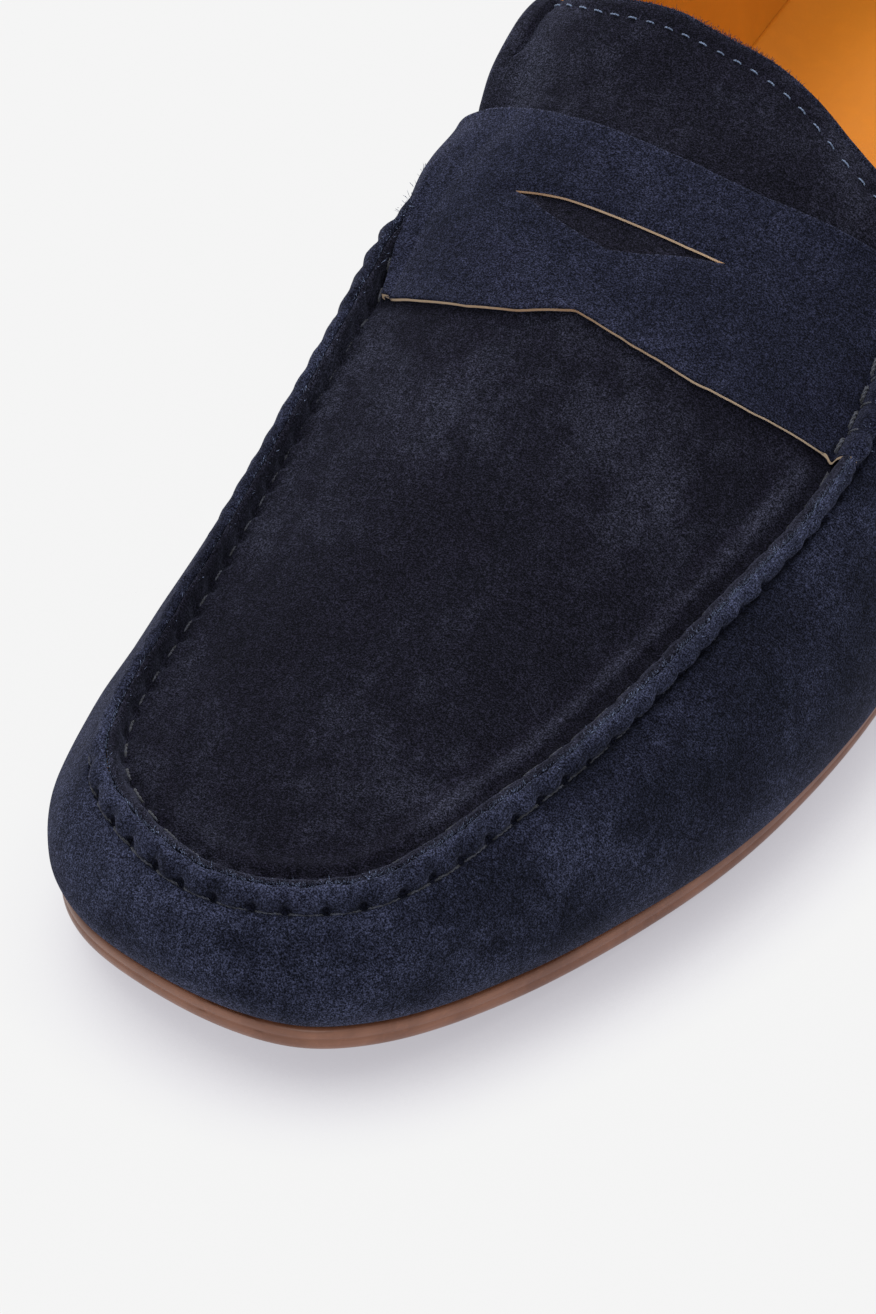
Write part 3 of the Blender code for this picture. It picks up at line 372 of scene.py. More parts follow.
def sheet(name, OUT, INN, mats, replaces=(), rim=4, bulge=0.12, raw=("end", "start", "ends"), attrs=None, merge=0.0, raw_mat=None):
    """A closed thin shell between an outer and an inner grid, its rims rounded. rows run along the piece, columns across.

    raw_mat gives the cut edges their own material; attrs are grids with OUT's shape."""
    nr, nc = OUT.shape[:2]
    ts = (np.arange(rim) + 1.0) / (rim + 1.0)

    def rim_cols(o, i, inside):
        d = unit(o - inside)
        return [o * (1 - t) + i * t + d * bulge * math.sin(math.pi * t) for t in ts]

    cols = [OUT[:, j] for j in range(nc)]
    end = rim_cols(OUT[:, -1], INN[:, -1], OUT[:, -2])
    inn = [INN[:, j] for j in range(nc - 1, -1, -1)]
    start = rim_cols(INN[:, 0], OUT[:, 0], INN[:, 1])
    P = np.stack(cols + end + inn + start, 1)
    M = P.shape[1]
    V = P.reshape(-1, 3)
    F, fm = [], []
    raw_cols = set()
    if "end" in raw:
        raw_cols |= set(range(nc - 1, nc + rim))
    if "start" in raw:
        raw_cols |= set(range(2 * nc + rim - 1, M))
    for i in range(nr - 1):
        for j in range(M):
            a, b = i * M + j, i * M + (j + 1) % M
            F.append((a, b, b + M, a + M))
            fm.append(1 if j in raw_cols else 0)
    # end caps, rounded the same way
    inner_index = lambda j: nc + rim + (nc - 1 - j)
    extra = []
    for row, flip in ((0, False), (nr - 1, True)):
        nxt = 1 if row == 0 else nr - 2
        d = unit(OUT[row] - OUT[nxt])
        base = len(V) + sum(len(e) for e in extra)
        pts = np.stack([OUT[row] * (1 - t) + INN[row] * t + d * bulge * math.sin(math.pi * t) for t in ts], 0)
        extra.append(pts.reshape(-1, 3))
        ids = [[row * M + j for j in range(nc)]] + [[base + k * nc + j for j in range(nc)] for k in range(rim)] + [[row * M + inner_index(j) for j in range(nc)]]
        for k in range(rim + 1):
            for j in range(nc - 1):
                f = (ids[k][j], ids[k][j + 1], ids[k + 1][j + 1], ids[k + 1][j])
                F.append(f if flip else f[::-1])
                fm.append(1 if "ends" in raw or ("start_cap" in raw and row == 0 and 1 <= k <= rim - 1) else 0)
        # close the little gaps between the caps and the side rims
        for side, cols_ in (("end", [nc - 1 + k for k in range(rim + 2)]), ("start", [(2 * nc + rim - 1 + k) % M for k in range(rim + 2)])):
            edge = [row * M + c for c in cols_]
            col = [ids[k][nc - 1 if side == "end" else 0] for k in range(rim + 2)]
            if side == "start":
                col = col[::-1]
            for k in range(rim + 1):
                q = list(dict.fromkeys((edge[k], edge[k + 1], col[k + 1], col[k])))
                if len(q) > 2:
                    F.append(tuple(q if flip else q[::-1]) if side == "end" else tuple(q if flip else q[::-1]))
                    fm.append(1 if "ends" in raw else 0)
    V = np.concatenate([V] + extra)
    A = {}
    for key, val in (attrs or {}).items():
        g = np.concatenate([val] + [val[:, -1:]] * rim + [val[:, ::-1]] + [val[:, :1]] * rim, 1).reshape(-1)
        tail = [np.concatenate([val[r]] * rim) for r in (0, nr - 1)]
        A[key] = np.concatenate([g] + tail)
    ms = list(mats) + ([raw_mat] if raw_mat else [])
    ob = build(name, V, F, ms, replaces, fmat=[(m if raw_mat else 0) for m in fm], attrs=A, merge=merge)
    bm = bmesh.new()
    bm.from_mesh(ob.data)
    bmesh.ops.recalc_face_normals(bm, faces=bm.faces)
    bm.to_mesh(ob.data)
    bm.free()
    return ob


def tube(path, radius, sides=8, taper=1.0):
    """Points and faces of a round cord along a path, closed at both ends."""
    P = np.asarray(path, float)
    n = len(P)
    t = unit(np.gradient(P, axis=0))
    ref = np.array([0.3, 0.2, 0.93])
    a = unit(np.cross(t, ref))
    b = np.cross(t, a)
    r = np.full(n, radius) if np.ndim(radius) == 0 else np.asarray(radius, float)
    r = r.copy()
    if taper < 1.0:
        r[0] *= taper
        r[-1] *= taper
    th = np.linspace(0, 2 * math.pi, sides, endpoint=False)
    ring = P[:, None] + r[:, None, None] * (a[:, None] * np.cos(th)[None, :, None] + b[:, None] * np.sin(th)[None, :, None])
    V = np.concatenate([ring.reshape(-1, 3), P[:1] - t[:1] * r[0] * 0.5, P[-1:] + t[-1:] * r[-1] * 0.5])
    F = []
    for i in range(n - 1):
        for j in range(sides):
            k = (j + 1) % sides
            F.append((i * sides + j, (i + 1) * sides + j, (i + 1) * sides + k, i * sides + k))
    c0, c1 = n * sides, n * sides + 1
    for j in range(sides):
        k = (j + 1) % sides
        F.append((c0, j, k))
        F.append((c1, (n - 1) * sides + k, (n - 1) * sides + j))
    return V, F


def join(pieces):
    V, F, base = [], [], 0
    for v, f in pieces:
        V.append(v)
        F += [tuple(i + base for i in q) for q in f]
        base += len(v)
    return np.concatenate(V), F


def twisted(path, radius, turns, sides=7):
    """A two-ply thread: two cords wound round each other along a path."""
    P = np.asarray(path, float)
    t = unit(np.gradient(P, axis=0))
    a = unit(np.cross(t, np.array([0.3, 0.2, 0.93])))
    b = np.cross(t, a)
    d = arc(P)
    out = []
    for ph in (0.0, math.pi):
        w = 2 * math.pi * turns * d / d[-1] + ph
        Q = P + 0.52 * radius * (a * np.cos(w)[:, None] + b * np.sin(w)[:, None])
        out.append(tube(Q, radius * 0.62, sides, taper=0.75))
    return out


# ---------------------------------------------------------------- materials
def mat(name):
    m = bpy.data.materials.new(name)
    m.use_nodes = True
    nt = m.node_tree
    nt.nodes.clear()
    out = nt.nodes.new("ShaderNodeOutputMaterial")
    b = nt.nodes.new("ShaderNodeBsdfPrincipled")
    nt.links.new(b.outputs["BSDF"], out.inputs["Surface"])
    return m, nt, b


class Net:
    """Short spellings for building node trees."""

    def __init__(self, nt):
        self.nt = nt
        self.co = nt.nodes.new("ShaderNodeTexCoord").outputs["Object"]

    def put(self, sock, v):
        if hasattr(v, "links") or isinstance(v, bpy.types.NodeSocket):
            self.nt.links.new(v, sock)
        else:
            sock.default_value = v

    def noise(self, scale_mm, detail=3.0, rough=0.55, distort=0.0, stretch=None):
        n = self.nt.nodes.new("ShaderNodeTexNoise")
        co = self.co
        if stretch:
            mp = self.nt.nodes.new("ShaderNodeMapping")
            mp.inputs["Scale"].default_value = stretch
            self.nt.links.new(co, mp.inputs["Vector"])
            co = mp.outputs["Vector"]
        self.nt.links.new(co, n.inputs["Vector"])
        n.inputs["Scale"].default_value = 1000.0 / scale_mm
        n.inputs["Detail"].default_value = detail
        n.inputs["Roughness"].default_value = rough
        n.inputs["Distortion"].default_value = distort
        return n.outputs["Fac"]

    def voronoi(self, scale_mm, feature="DISTANCE_TO_EDGE"):
        n = self.nt.nodes.new("ShaderNodeTexVoronoi")
        n.feature = feature
        self.nt.links.new(self.co, n.inputs["Vector"])
        n.inputs["Scale"].default_value = 1000.0 / scale_mm
        return n.outputs["Distance"]

    def ramp(self, fac, stops, mode="LINEAR"):
        n = self.nt.nodes.new("ShaderNodeValToRGB")
        n.color_ramp.interpolation = mode
        while len(n.color_ramp.elements) < len(stops):
            n.color_ramp.elements.new(0.5)
        for e, (p, c) in zip(n.color_ramp.elements, stops):
            e.position = p
            e.color = (c, c, c, 1) if isinstance(c, (int, float)) else tuple(c) + (1,)
        self.put(n.inputs["Fac"], fac)
        return n.outputs["Color"]

    def mix(self, fac, a, b, mode="MIX"):
        n = self.nt.nodes.new("ShaderNodeMix")
        n.data_type = "RGBA"
        n.blend_type = mode
        self.put(n.inputs[0], fac)
        for sock, v in ((n.inputs[6], a), (n.inputs[7], b)):
            self.put(sock, tuple(v) + (1,) if isinstance(v, tuple) and len(v) == 3 else v)
        return n.outputs[2]

    def math(self, op, a, b=0.0, clamp=False):
        n = self.nt.nodes.new("ShaderNodeMath")
        n.operation = op
        n.use_clamp = clamp
        self.put(n.inputs[0], a)
        self.put(n.inputs[1], b)
        return n.outputs[0]

    def attr(self, key):
        n = self.nt.nodes.new("ShaderNodeAttribute")
        n.attribute_name = key
        return n.outputs["Fac"]

    def bump(self, height, strength, dist_mm, normal=None):
        n = self.nt.nodes.new("ShaderNodeBump")
        n.inputs["Strength"].default_value = strength
        n.inputs["Distance"].default_value = dist_mm * MM
        self.put(n.inputs["Height"], height)
        if normal is not None:
            self.nt.links.new(normal, n.inputs["Normal"])
        return n.outputs["Normal"]


def suede_mat(name, dark, mid, light, sheen=0.05, shading_attr_gain=1.0, rim=0.30):
    """Brushed suede: mottled pile with brushed-up patches, salt and pepper fibre grain, a painted sheen that makes it
    paler where the surface turns away from the camera, and painted light and shade added from a per-vertex attribute.
    """
    m, nt, b = mat(name)
    k = Net(nt)
    big = k.noise(30.0, 3.0, 0.55, 0.8)
    med = k.noise(7.0, 5.0, 0.68, 1.2)
    brush = k.noise(4.0, 3.0, 0.6, 0.6, (1.0, 0.40, 0.7))
    fine = k.noise(0.75, 2.0, 0.6)
    grain = k.noise(0.25, 1.0, 0.8)
    nap_and_painted_shading = k.math("ADD", k.math("MULTIPLY", big, 0.40), k.math("ADD", k.math("MULTIPLY", med, 0.34), k.math("MULTIPLY", brush, 0.26)))
    # painted light and shade: the per-vertex attribute lightens and darkens the random pile
    nap_and_painted_shading = k.math("ADD", nap_and_painted_shading, k.math("MULTIPLY", k.attr("nap_and_painted_shading"), 0.11 * shading_attr_gain))
    base = k.ramp(nap_and_painted_shading, ((0.38, dark), (0.50, mid), (0.70, light)))
    speck = k.ramp(grain, ((0.34, 0.16), (0.50, 0.84), (0.65, 2.6)))
    tone = k.ramp(fine, ((0.3, 0.62), (0.7, 1.45)))
    col = k.mix(1.0, k.mix(1.0, base, speck, "MULTIPLY"), tone, "MULTIPLY")
    # painted sheen: the colour is mixed toward a light blue where the surface turns away from the camera, by the rim
    # amount
    lw = nt.nodes.new("ShaderNodeLayerWeight")
    lw.inputs["Blend"].default_value = 0.5
    painted_sheen_colour = k.mix(1.0, k.mix(1.0, (0.075, 0.078, 0.125), speck, "MULTIPLY"), tone, "MULTIPLY")
    col = k.mix(k.math("MULTIPLY", k.ramp(lw.outputs["Facing"], ((0.42, 0.0), (1.0, 1.0))), rim), col, painted_sheen_colour)
    raw = k.attr("raw")
    fluff = k.mix(1.0, k.ramp(med, ((0.35, light_of(light, 0.9)), (0.7, light_of(light, 2.2)))), speck, "MULTIPLY")
    col = k.mix(k.math("MULTIPLY", raw, 0.85), col, fluff)
    k.put(b.inputs["Base Color"], col)
    b.inputs["Roughness"].default_value = 0.95
    b.inputs["Specular IOR Level"].default_value = 0.04
    b.inputs["Sheen Weight"].default_value = sheen
    b.inputs["Sheen Roughness"].default_value = 0.6
    b.inputs["Sheen Tint"].default_value = (0.45, 0.50, 0.70, 1)
    h = k.math("ADD", k.math("MULTIPLY", grain, 0.8), k.math("MULTIPLY", fine, 0.5))
    nrm = k.bump(h, 1.0, 0.30)
    nrm = k.bump(med, 0.3, 0.6, nrm)
    k.put(b.inputs["Normal"], nrm)
    return m


def light_of(c, f):
    return tuple(min(1.0, v * f) for v in c)


def leather_mat(name, colour, dark, rough=0.42, grain_mm=0.9, bump=0.25, spot=0.5):
    """Smooth grained leather with pores, slow colour drift and uneven polish."""
    m, nt, b = mat(name)
    k = Net(nt)
    slow = k.noise(30.0, 3.0, 0.5)
    spots = k.noise(3.5, 3.0, 0.6)
    cells = k.voronoi(grain_mm)
    pores = k.noise(0.35, 2.0, 0.6)
    col = k.mix(k.ramp(slow, ((0.35, 0.0), (0.7, 1.0))), colour, dark)
    col = k.mix(k.math("MULTIPLY", k.ramp(spots, ((0.45, 0.0), (0.75, 1.0))), spot * 0.5), col, light_of(colour, 1.15))
    col = k.mix(k.ramp(pores, ((0.22, 0.35), (0.36, 0.0))), col, dark)
    k.put(b.inputs["Base Color"], col)
    k.put(b.inputs["Roughness"], k.math("ADD", k.math("MULTIPLY", spots, 0.18), rough - 0.09))
    b.inputs["Specular IOR Level"].default_value = 0.18
    h = k.math("ADD", k.ramp(cells, ((0.0, 0.0), (0.25, 1.0))), k.math("MULTIPLY", pores, 0.6))
    k.put(b.inputs["Normal"], k.bump(h, bump, 0.08))
    return m


def sole_mat(name, colour, dark, rough=0.36):
    """Burnished sole edge: faint lengthwise lines from trimming, waxed patches, pale scuff flecks all over."""
    m, nt, b = mat(name)
    k = Net(nt)
    lines = k.noise(0.5, 2.0, 0.6, 0.0, (0.08, 0.08, 1.0))
    wax = k.noise(9.0, 3.0, 0.6, 0.4)
    fine = k.noise(0.8, 3.0, 0.6)
    col = k.mix(k.ramp(wax, ((0.35, 0.0), (0.7, 1.0))), colour, dark)
    col = k.mix(k.math("MULTIPLY", k.ramp(lines, ((0.4, 0.0), (0.65, 1.0))), 0.3), col, dark)
    col = k.mix(k.math("MULTIPLY", k.ramp(fine, ((0.55, 0.0), (0.75, 1.0))), 0.25), col, light_of(colour, 1.5))
    k.put(b.inputs["Base Color"], col)
    k.put(b.inputs["Roughness"], k.math("ADD", k.math("MULTIPLY", wax, 0.22), rough - 0.1))
    b.inputs["Specular IOR Level"].default_value = 0.5
    h = k.math("ADD", k.math("MULTIPLY", lines, 0.8), k.math("MULTIPLY", fine, 0.3))
    k.put(b.inputs["Normal"], k.bump(h, 0.3, 0.1))
    return m


def thread_mat(name, dark, light, fibre=0.5):
    """Twisted thread: dark valleys, loose pale fibres."""
    m, nt, b = mat(name)
    k = Net(nt)
    a = k.noise(0.22, 2.0, 0.7)
    c = k.noise(1.6, 2.0, 0.6)
    f = k.ramp(k.math("ADD", k.math("MULTIPLY", a, 0.7), k.math("MULTIPLY", c, 0.3)), ((0.42, 0.0), (0.5 + 0.12 * (1 - fibre), 1.0)))
    k.put(b.inputs["Base Color"], k.mix(f, dark, light))
    b.inputs["Roughness"].default_value = 0.7
    b.inputs["Sheen Weight"].default_value = 0.25
    k.put(b.inputs["Normal"], k.bump(a, 0.6, 0.08))
    return m


NAVY_D, NAVY_M, NAVY_L = (0.0050, 0.0056, 0.0110), (0.0094, 0.0106, 0.0205), (0.0270, 0.0305, 0.0560)
suede = suede_mat("navy_suede", NAVY_D, NAVY_M, NAVY_L)
# the apron's copy of the same suede, darker: painted shade on the apron
suede_plug_painted_darker = suede_mat("navy_suede_plug_painted_darker", (0.0048, 0.0045, 0.0083), (0.0068, 0.0065, 0.0118), (0.0200, 0.0208, 0.0335))
# the strap's copy of the same suede, paler in its dark tones than the apron's: painted light on the strap
suede_strap_painted_paler = suede_mat("pale_navy_suede", (0.0070, 0.0078, 0.0158), (0.0098, 0.0109, 0.0218), (0.0200, 0.0220, 0.0415))
raw_blue = suede_mat("raw_suede_edge", (0.020, 0.024, 0.040), (0.040, 0.050, 0.082), (0.085, 0.105, 0.165), sheen=0.3)
raw_beige = leather_mat("raw_cut_edge", (0.88, 0.68, 0.48), (0.44, 0.26, 0.15), 0.9, 0.4, 0.3, 0.2)
lining = leather_mat("tan_lining_leather", (0.69, 0.255, 0.020), (0.60, 0.215, 0.015), 0.65, 0.8, 0.10)
sock = leather_mat("tan_sock_leather", (0.63, 0.215, 0.014), (0.56, 0.185, 0.011), 0.65, 0.8, 0.10)
grip = leather_mat("tan_grip_leather", (0.46, 0.19, 0.045), (0.36, 0.13, 0.028), 0.85, 0.5, 0.3)
sole_edge = sole_mat("brown_sole_leather", (0.245, 0.100, 0.056), (0.150, 0.056, 0.030))
heel_stack = sole_mat("stacked_heel_leather", (0.15, 0.062, 0.028), (0.085, 0.033, 0.015), 0.4)
rubber = sole_mat("heel_rubber", (0.045, 0.030, 0.024), (0.030, 0.020, 0.016), 0.7)
dark_thread = thread_mat("navy_waxed_thread", (0.0025, 0.0028, 0.005), (0.055, 0.062, 0.095), 0.0)
blue_thread = thread_mat("blue_thread", (0.05, 0.075, 0.14), (0.17, 0.23, 0.36), 0.8)

# ---------------------------------------------------------------- the apron seam's stitches
Y_RIDGE = {-1: 131.0, 1: 141.0}
_u = np.linspace(float(u_at(Y_RIDGE[1], 1)), float(u_at(Y_RIDGE[-1], -1)), 6000)
_c = crest(_u)
_d = arc(_c)
N_STITCH = int(round(_d[-1] / STITCH))
HOLE_D = np.linspace(0, _d[-1], N_STITCH + 1) + 0.45 * noise1(np.arange(N_STITCH + 1) * 3.7, 1.0, 11)
HOLE_U = np.interp(HOLE_D, _d, _u)
FRONT_Y = {-1: STRAP_EDGE[0][1], 1: STRAP_EDGE[-1][1] - 2.0}
front, back = np.array(STRAP_EDGE), np.array(STRAP_BACK)


def crest_d(u):
    """Length along the crest at u, running on past the stitched part."""
    slope0, slope1 = (_d[1] - _d[0]) / (_u[1] - _u[0]), (_d[-1] - _d[-2]) / (_u[-1] - _u[-2])
    u = np.asarray(u, float)
    return np.where(u < _u[0], (u - _u[0]) * slope0, np.where(u > _u[-1], _d[-1] + (u - _u[-1]) * slope1, np.interp(u, _u, _d)))


def hole_near(u):
    """Distance along the crest to the nearest stitch hole, and a wave that is 1 at a hole and -1 midway."""
    d = crest_d(u)
    i = np.clip(np.searchsorted(HOLE_D, d), 1, len(HOLE_D) - 1)
    lo, hi = HOLE_D[i - 1], HOLE_D[i]
    near = np.minimum(np.abs(d - lo), np.abs(d - hi))
    wave = np.cos(2 * math.pi * (d - lo) / (hi - lo))
    live = ((d > HOLE_D[0] - 1.5) & (d < HOLE_D[-1] + 1.5)).astype(float)
    return np.where(live > 0, near, 9.0), wave * live


def side_of(u):
    return np.where(crest(u)[..., 0] < 0, -1, 1)


def strap_zone(u):
    """1 where the strap's end is sewn to the ridge."""
    y = crest(u)[..., 1]
    return step(-1.0, 1.5, y - np.where(side_of(u) < 0, FRONT_Y[-1], FRONT_Y[1]))


def outer_rear(u):
    """0 round the toe and up the inner side, 1 along the outer side, where the ridge leans out and gets lower."""
    c = crest(u)
    return step(35, 85, c[..., 1]) * (side_of(u) > 0)


def inner_side(u):
    c = crest(u)
    return step(14, 34, c[..., 1]) * (side_of(u) < 0)


def rawness(u):
    """How fluffy and pale the ridge's cut top is."""
    c = crest(u)
    lat = (side_of(u) > 0) * step(20, 70, c[..., 1])
    med = (side_of(u) < 0) * step(16, 40, c[..., 1])
    return (0.45 * (1 - lat) * (1 - med) + 0.80 * lat + 0.10 * med) * (0.75 + 0.35 * noise1(crest_d(u), 6.0, 71))


def over_fold(u):
    """1 on the inner side where the tongue's edge is turned over the topline."""
    c = crest(u)
    return step(138, 146, c[..., 1]) * (1 - step(164, 168, c[..., 1])) * (side_of(u) < 0)


# ---------------------------------------------------------------- vamp
NU = 700
Uv = spaced(U_SEAM[1] + 0.2, U_SEAM[-1] - 0.2, 1200)
_q = arc(crest(Uv) * 0.6 + wall_face(Uv, 0.2) * 0.4)
Uv = np.interp(np.linspace(0, _q[-1], NU), _q, Uv)
kk = ridge(Uv)
rowsv = np.concatenate([np.linspace(0, 0.9, 42), np.linspace(0.912, 1.0, 13)])
d_along = crest_d(Uv)
OUT_N = {"n": 2.5, "h": -2.4}


def foot_size(u):
    """Out and down from the crest to the ridge's outer foot, and how far its lip overhangs it."""
    y = crest(u)[..., 1]
    w = (side_of(u) > 0).astype(float)
    dn = np.interp(y, (28, 45, 67, 90, 105, 125), (0.0, -0.35, -0.6, -0.9, -1.2, -1.3)) * w
    dh = np.interp(y, (28, 45, 67, 90, 105, 125), (0.0, 0.15, 0.35, 0.65, 1.0, 1.1)) * w
    return OUT_N["n"] + dn, OUT_N["h"] + dh, 0.30 * np.interp(y, (25, 50), (0.0, 1.0)) * w


def foot_shift(u):
    """How far the foot of the ridge is moved from its full size."""
    b, hc, hang = foot_size(u)
    return (b * (1 - hang) - OUT_N["n"]) * ridge(u), (hc - OUT_N["h"]) * ridge(u)


def vamp_relief(u, v):
    """Small swells, pinches and gathers of the side wall, as an offset along its normal."""
    near, wave = hole_near(u)
    k = ridge(u)
    fade = np.exp(-((1 - v) / 0.14)**2) * k
    gather = 0.10 * wave * fade * (0.4 + 0.6 * step(60, 30, crest(u)[..., 1]))
    pinch = -0.62 * np.exp(-(near / 0.75)**2) * np.exp(-((1 - v) / 0.035)**2) * k - 0.22 * np.exp(-((1 - v) / 0.018)**2) * k
    swell = 0.30 * noise2(crest_d(u), v * 60, 24.0, 3) + 0.14 * noise2(crest_d(u), v * 60, 8.0, 5)
    return gather + pinch + swell * (0.35 + 0.65 * np.sin(np.clip(v, 0, 1) * math.pi)) - 0.14 * np.exp(-((v - 0.0) / 0.03)**2)


def wall_vis(u, v, off):
    """The side wall as it is seen: its top follows the foot of the ridge, and drops under the folded tongue edge."""
    u, v, off = np.broadcast_arrays(np.asarray(u, float), np.asarray(v, float), np.asarray(off, float))
    dn, dh = foot_shift(u)
    w = step(0.70, 1.0, v)[..., None]
    P = wall(u, v * (1 - 0.055 * over_fold(u)), off)
    return P + w * (outward(u) * dn[..., None] + UP * dh[..., None])


Ug, Vg = np.broadcast_arrays(Uv[:, None], rowsv[None, :])
W = wall_vis(Ug, Vg, vamp_relief(Ug, Vg))
A_OUT = np.array([0.04, 0.20, 0.40, 0.57, 0.71, 0.82, 0.90, 0.95, 0.975, 0.985, 0.985, 0.985, 0.99])
G_OUT = np.array([0.0, 0.0, 0.04, 0.11, 0.21, 0.33, 0.46, 0.59, 0.71, 0.81, 0.89, 0.95, 0.985])
B_OUT = np.array([0.62, 1.0, 0.98, 0.90, 0.76, 0.60, 0.45, 0.32, 0.22, 0.13, 0.07, 0.03, 0.0])
NL_ = len(A_OUT)
TOP_ROLL = np.array([(-0.05 - 0.10 * j, 0.12 + 0.26 * math.sin(math.pi * j / (NL_ - 1))) for j in range(NL_)])


def outer_lip(u):
    """The ridge's outer half from its cut top down to its foot, lobed between the stitches and pinched at them."""
    near, wave = hole_near(u)
    k, d, z = ridge(u), crest_d(u), strap_zone(u)
    b, hc, hang = foot_size(u)
    rise = 0.95 - 0.15 * z
    amp = (0.33 - 0.15 * inner_side(u) - 0.07 * outer_rear(u) + 0.12 * z) * (0.85 + 0.45 * noise1(d, 14.0, 91))
    out = []
    for j in range(NL_):
        s_ = G_OUT[j]
        lobe = -wave * amp * math.sin(math.pi * min(1.0, 0.15 + s_ * 0.72))
        pin = np.exp(-(near / 0.75)**2) * (0.85 + 0.3 * z) * math.exp(-((s_ - 0.92) / 0.26)**2) * (1 - 0.5 * hang / 0.3)
        rag = (0.14 * noise1(d, 0.8, 21 + j % 5) + 0.26 * noise1(d, 3.3, 5) + 0.16 * noise1(d, 11.0, 6)) * (1 - s_)
        frill = (hang / 0.3) * (0.24 * noise1(d, 1.6, 81) + 0.16 * noise1(d, 0.7, 82)) * math.exp(-((s_ - 0.6) / 0.3)**2)
        nn = frill + b * A_OUT[j] * (1 - hang * step(0.55, 1.0, s_)) + lobe - pin + 0.12 * noise1(d, 7.0, 31) + 0.35 * z * noise1(d, 2.6, 33) * A_OUT[j]
        hh = rise * B_OUT[j] + hc * G_OUT[j] + rag - 0.35 * lobe * s_
        r = TOP_ROLL[NL_ - 1 - j]
        f_ = over_fold(u)
        out.append(by_crest(u, nn * k + (r[0] + 0.1 * f_) * (1 - k), hh * k + (r[1] - 3.0 * f_) * (1 - k)))
    return np.stack(out, 1)


RO = outer_lip(Uv)[:, ::-1]
OUTV = np.concatenate([W, RO], 1)
INW = wall_vis(Ug, Vg * 0.93, -SUEDE + 0.15 + 0 * Ug)
IN_R = np.array([(1.5, -3.6), (1.3, -3.4), (1.1, -3.2), (0.9, -2.9), (0.7, -2.5), (0.5, -2.0), (0.35, -1.5), (0.25, -1.0), (0.18, -0.5), (0.14, -0.1), (0.12, 0.1), (0.12, 0.2), (0.12, 0.25)])
IN_T = np.array([(-1.42, -3.6 + 0.26 * j) for j in range(NL_)])
fo = over_fold(Uv)
IR = np.stack([by_crest(Uv, IN_R[j][0] * kk + IN_T[j][0] * (1 - kk), IN_R[j][1] * kk + (IN_T[j][1] - 3.0 * fo) * (1 - kk)) for j in range(NL_)], 1)
INV = np.concatenate([INW, IR], 1)
raw_attr = np.zeros(OUTV.shape[:2])
_lat = outer_rear(Uv)[:, None]
_prof = np.clip(np.linspace(-1.9, 1.05, NL_), 0, 1)[None] * (1 - _lat) + np.clip(np.linspace(0.10, 1.15, NL_), 0, 1)[None] * _lat
raw_attr[:, -NL_:] = _prof * (kk * rawness(Uv))[:, None]
# painted light and shade on the vamp over random pile patches: a painted sheen band low on the wall, painted light at
# the inner toe and towards the toe
wall_nap_and_painted_shading = 0.6 * noise2(Ug, Vg * 55, 13.0, 301) + 0.55 * np.exp(-((Vg - 0.12) / 0.10)**2) * (0.5 + 0.5 * noise2(Ug, Vg * 55, 9.0, 302)) + 0.5 * np.exp(-((Ug - 18) / 16)**2) + 0.75 * step(48, 20, crest(Ug)[..., 1])
_near, _ = hole_near(Uv)
_hole_painted_shade = np.exp(-(_near / 0.75)**2)[:, None]
# painted shade in the crease at the ridge's foot, deeper at each stitch hole
wall_nap_and_painted_shading = wall_nap_and_painted_shading - kk[:, None] * (1.2 + 1.6 * _hole_painted_shade) * np.exp(-((1 - Vg) / 0.022)**2)
_lp = np.linspace(0, 1, NL_)[None]
# the ridge's outer lip: random pile patches, painted light towards the toe, painted shade at its foot and at each
# stitch hole
lip_nap_and_painted_shading = np.repeat(wall_nap_and_painted_shading[:, :1] * 0, NL_, 1) + 0.4 * noise2(Uv[:, None] + 0 * _lp, 8 * _lp + 0 * Uv[:, None], 4.0, 303) + 0.9 * step(48, 20, crest(Uv)[:, 1])[:, None] - kk[:, None] * (0.9 + 2.2 * _hole_painted_shade) * np.exp(-(_lp / 0.30)**2)
wall_nap_and_painted_shading = np.concatenate([wall_nap_and_painted_shading, lip_nap_and_painted_shading], 1)
sheet("vamp_suede", OUTV, INV, [suede], ("vamp",), rim=2, bulge=0.05, attrs={"raw": np.clip(raw_attr, 0, 1), "nap_and_painted_shading": wall_nap_and_painted_shading})

# ---------------------------------------------------------------- apron and tongue
UE = {-1: float(u_at(165.8, -1)), 1: float(u_at(155.2, 1))}
NR, NT = 250, 40
um_ = spaced(U_TOE, U_SEAM[-1], 1200)
ul_ = spaced(U_TOE, U_SEAM[1], 1200)
qm, ql = arc(seam(um_)), arc(seam(ul_))
tt = np.linspace(0, 1, NR)
UM, UL = np.interp(tt * qm[-1], qm, um_), np.interp(tt * ql[-1], ql, ul_)
ft = np.linspace(0, 1, NT + 1)[1:]
UMT, ULT = UM[-1] + (UE[-1] - UM[-1]) * ft, UL[-1] + (UE[1] - UL[-1]) * ft
NX = 126
ex = (1 - np.cos(np.linspace(0, math.pi, NX))) / 2 * 0.6 + np.linspace(0, 1, NX) * 0.4


def soft_line(pts, x, r=1.2):
    """A polyline with its corners slightly eased."""
    x = np.asarray(x, float)
    return sum(w * np.interp(x + dx, pts[:, 0], pts[:, 1]) for dx, w in ((-r, 0.25), (0, 0.5), (r, 0.25)))


TONGUE_ROW = 2.9                          # tongue stitching in from the free edge
TONGUE_X = np.linspace(-33.0, 28.5, 22)   # x of its stitch holes


def foot_in(u):
    """How far in from the crest the apron starts, its ridge being narrower up the inner side."""
    k = ridge(u)
    return (-2.9 + 1.2 * inner_side(u)) * k - 2.9 * (1 - k)


def inside_line(u):
    """The recessed line where the apron turns up, as it is seen."""
    return by_crest(u, foot_in(u), 0 * np.asarray(u))


def _edge_line(n):
    uu = np.concatenate([np.linspace(U_SEAM[1], U_TOE, n)[:-1], np.linspace(U_TOE, U_SEAM[-1], n)])
    return inside_line(uu)[:, :2], uu


_el, _eu = _edge_line(420)
_e_near, _e_wave = hole_near(_eu)


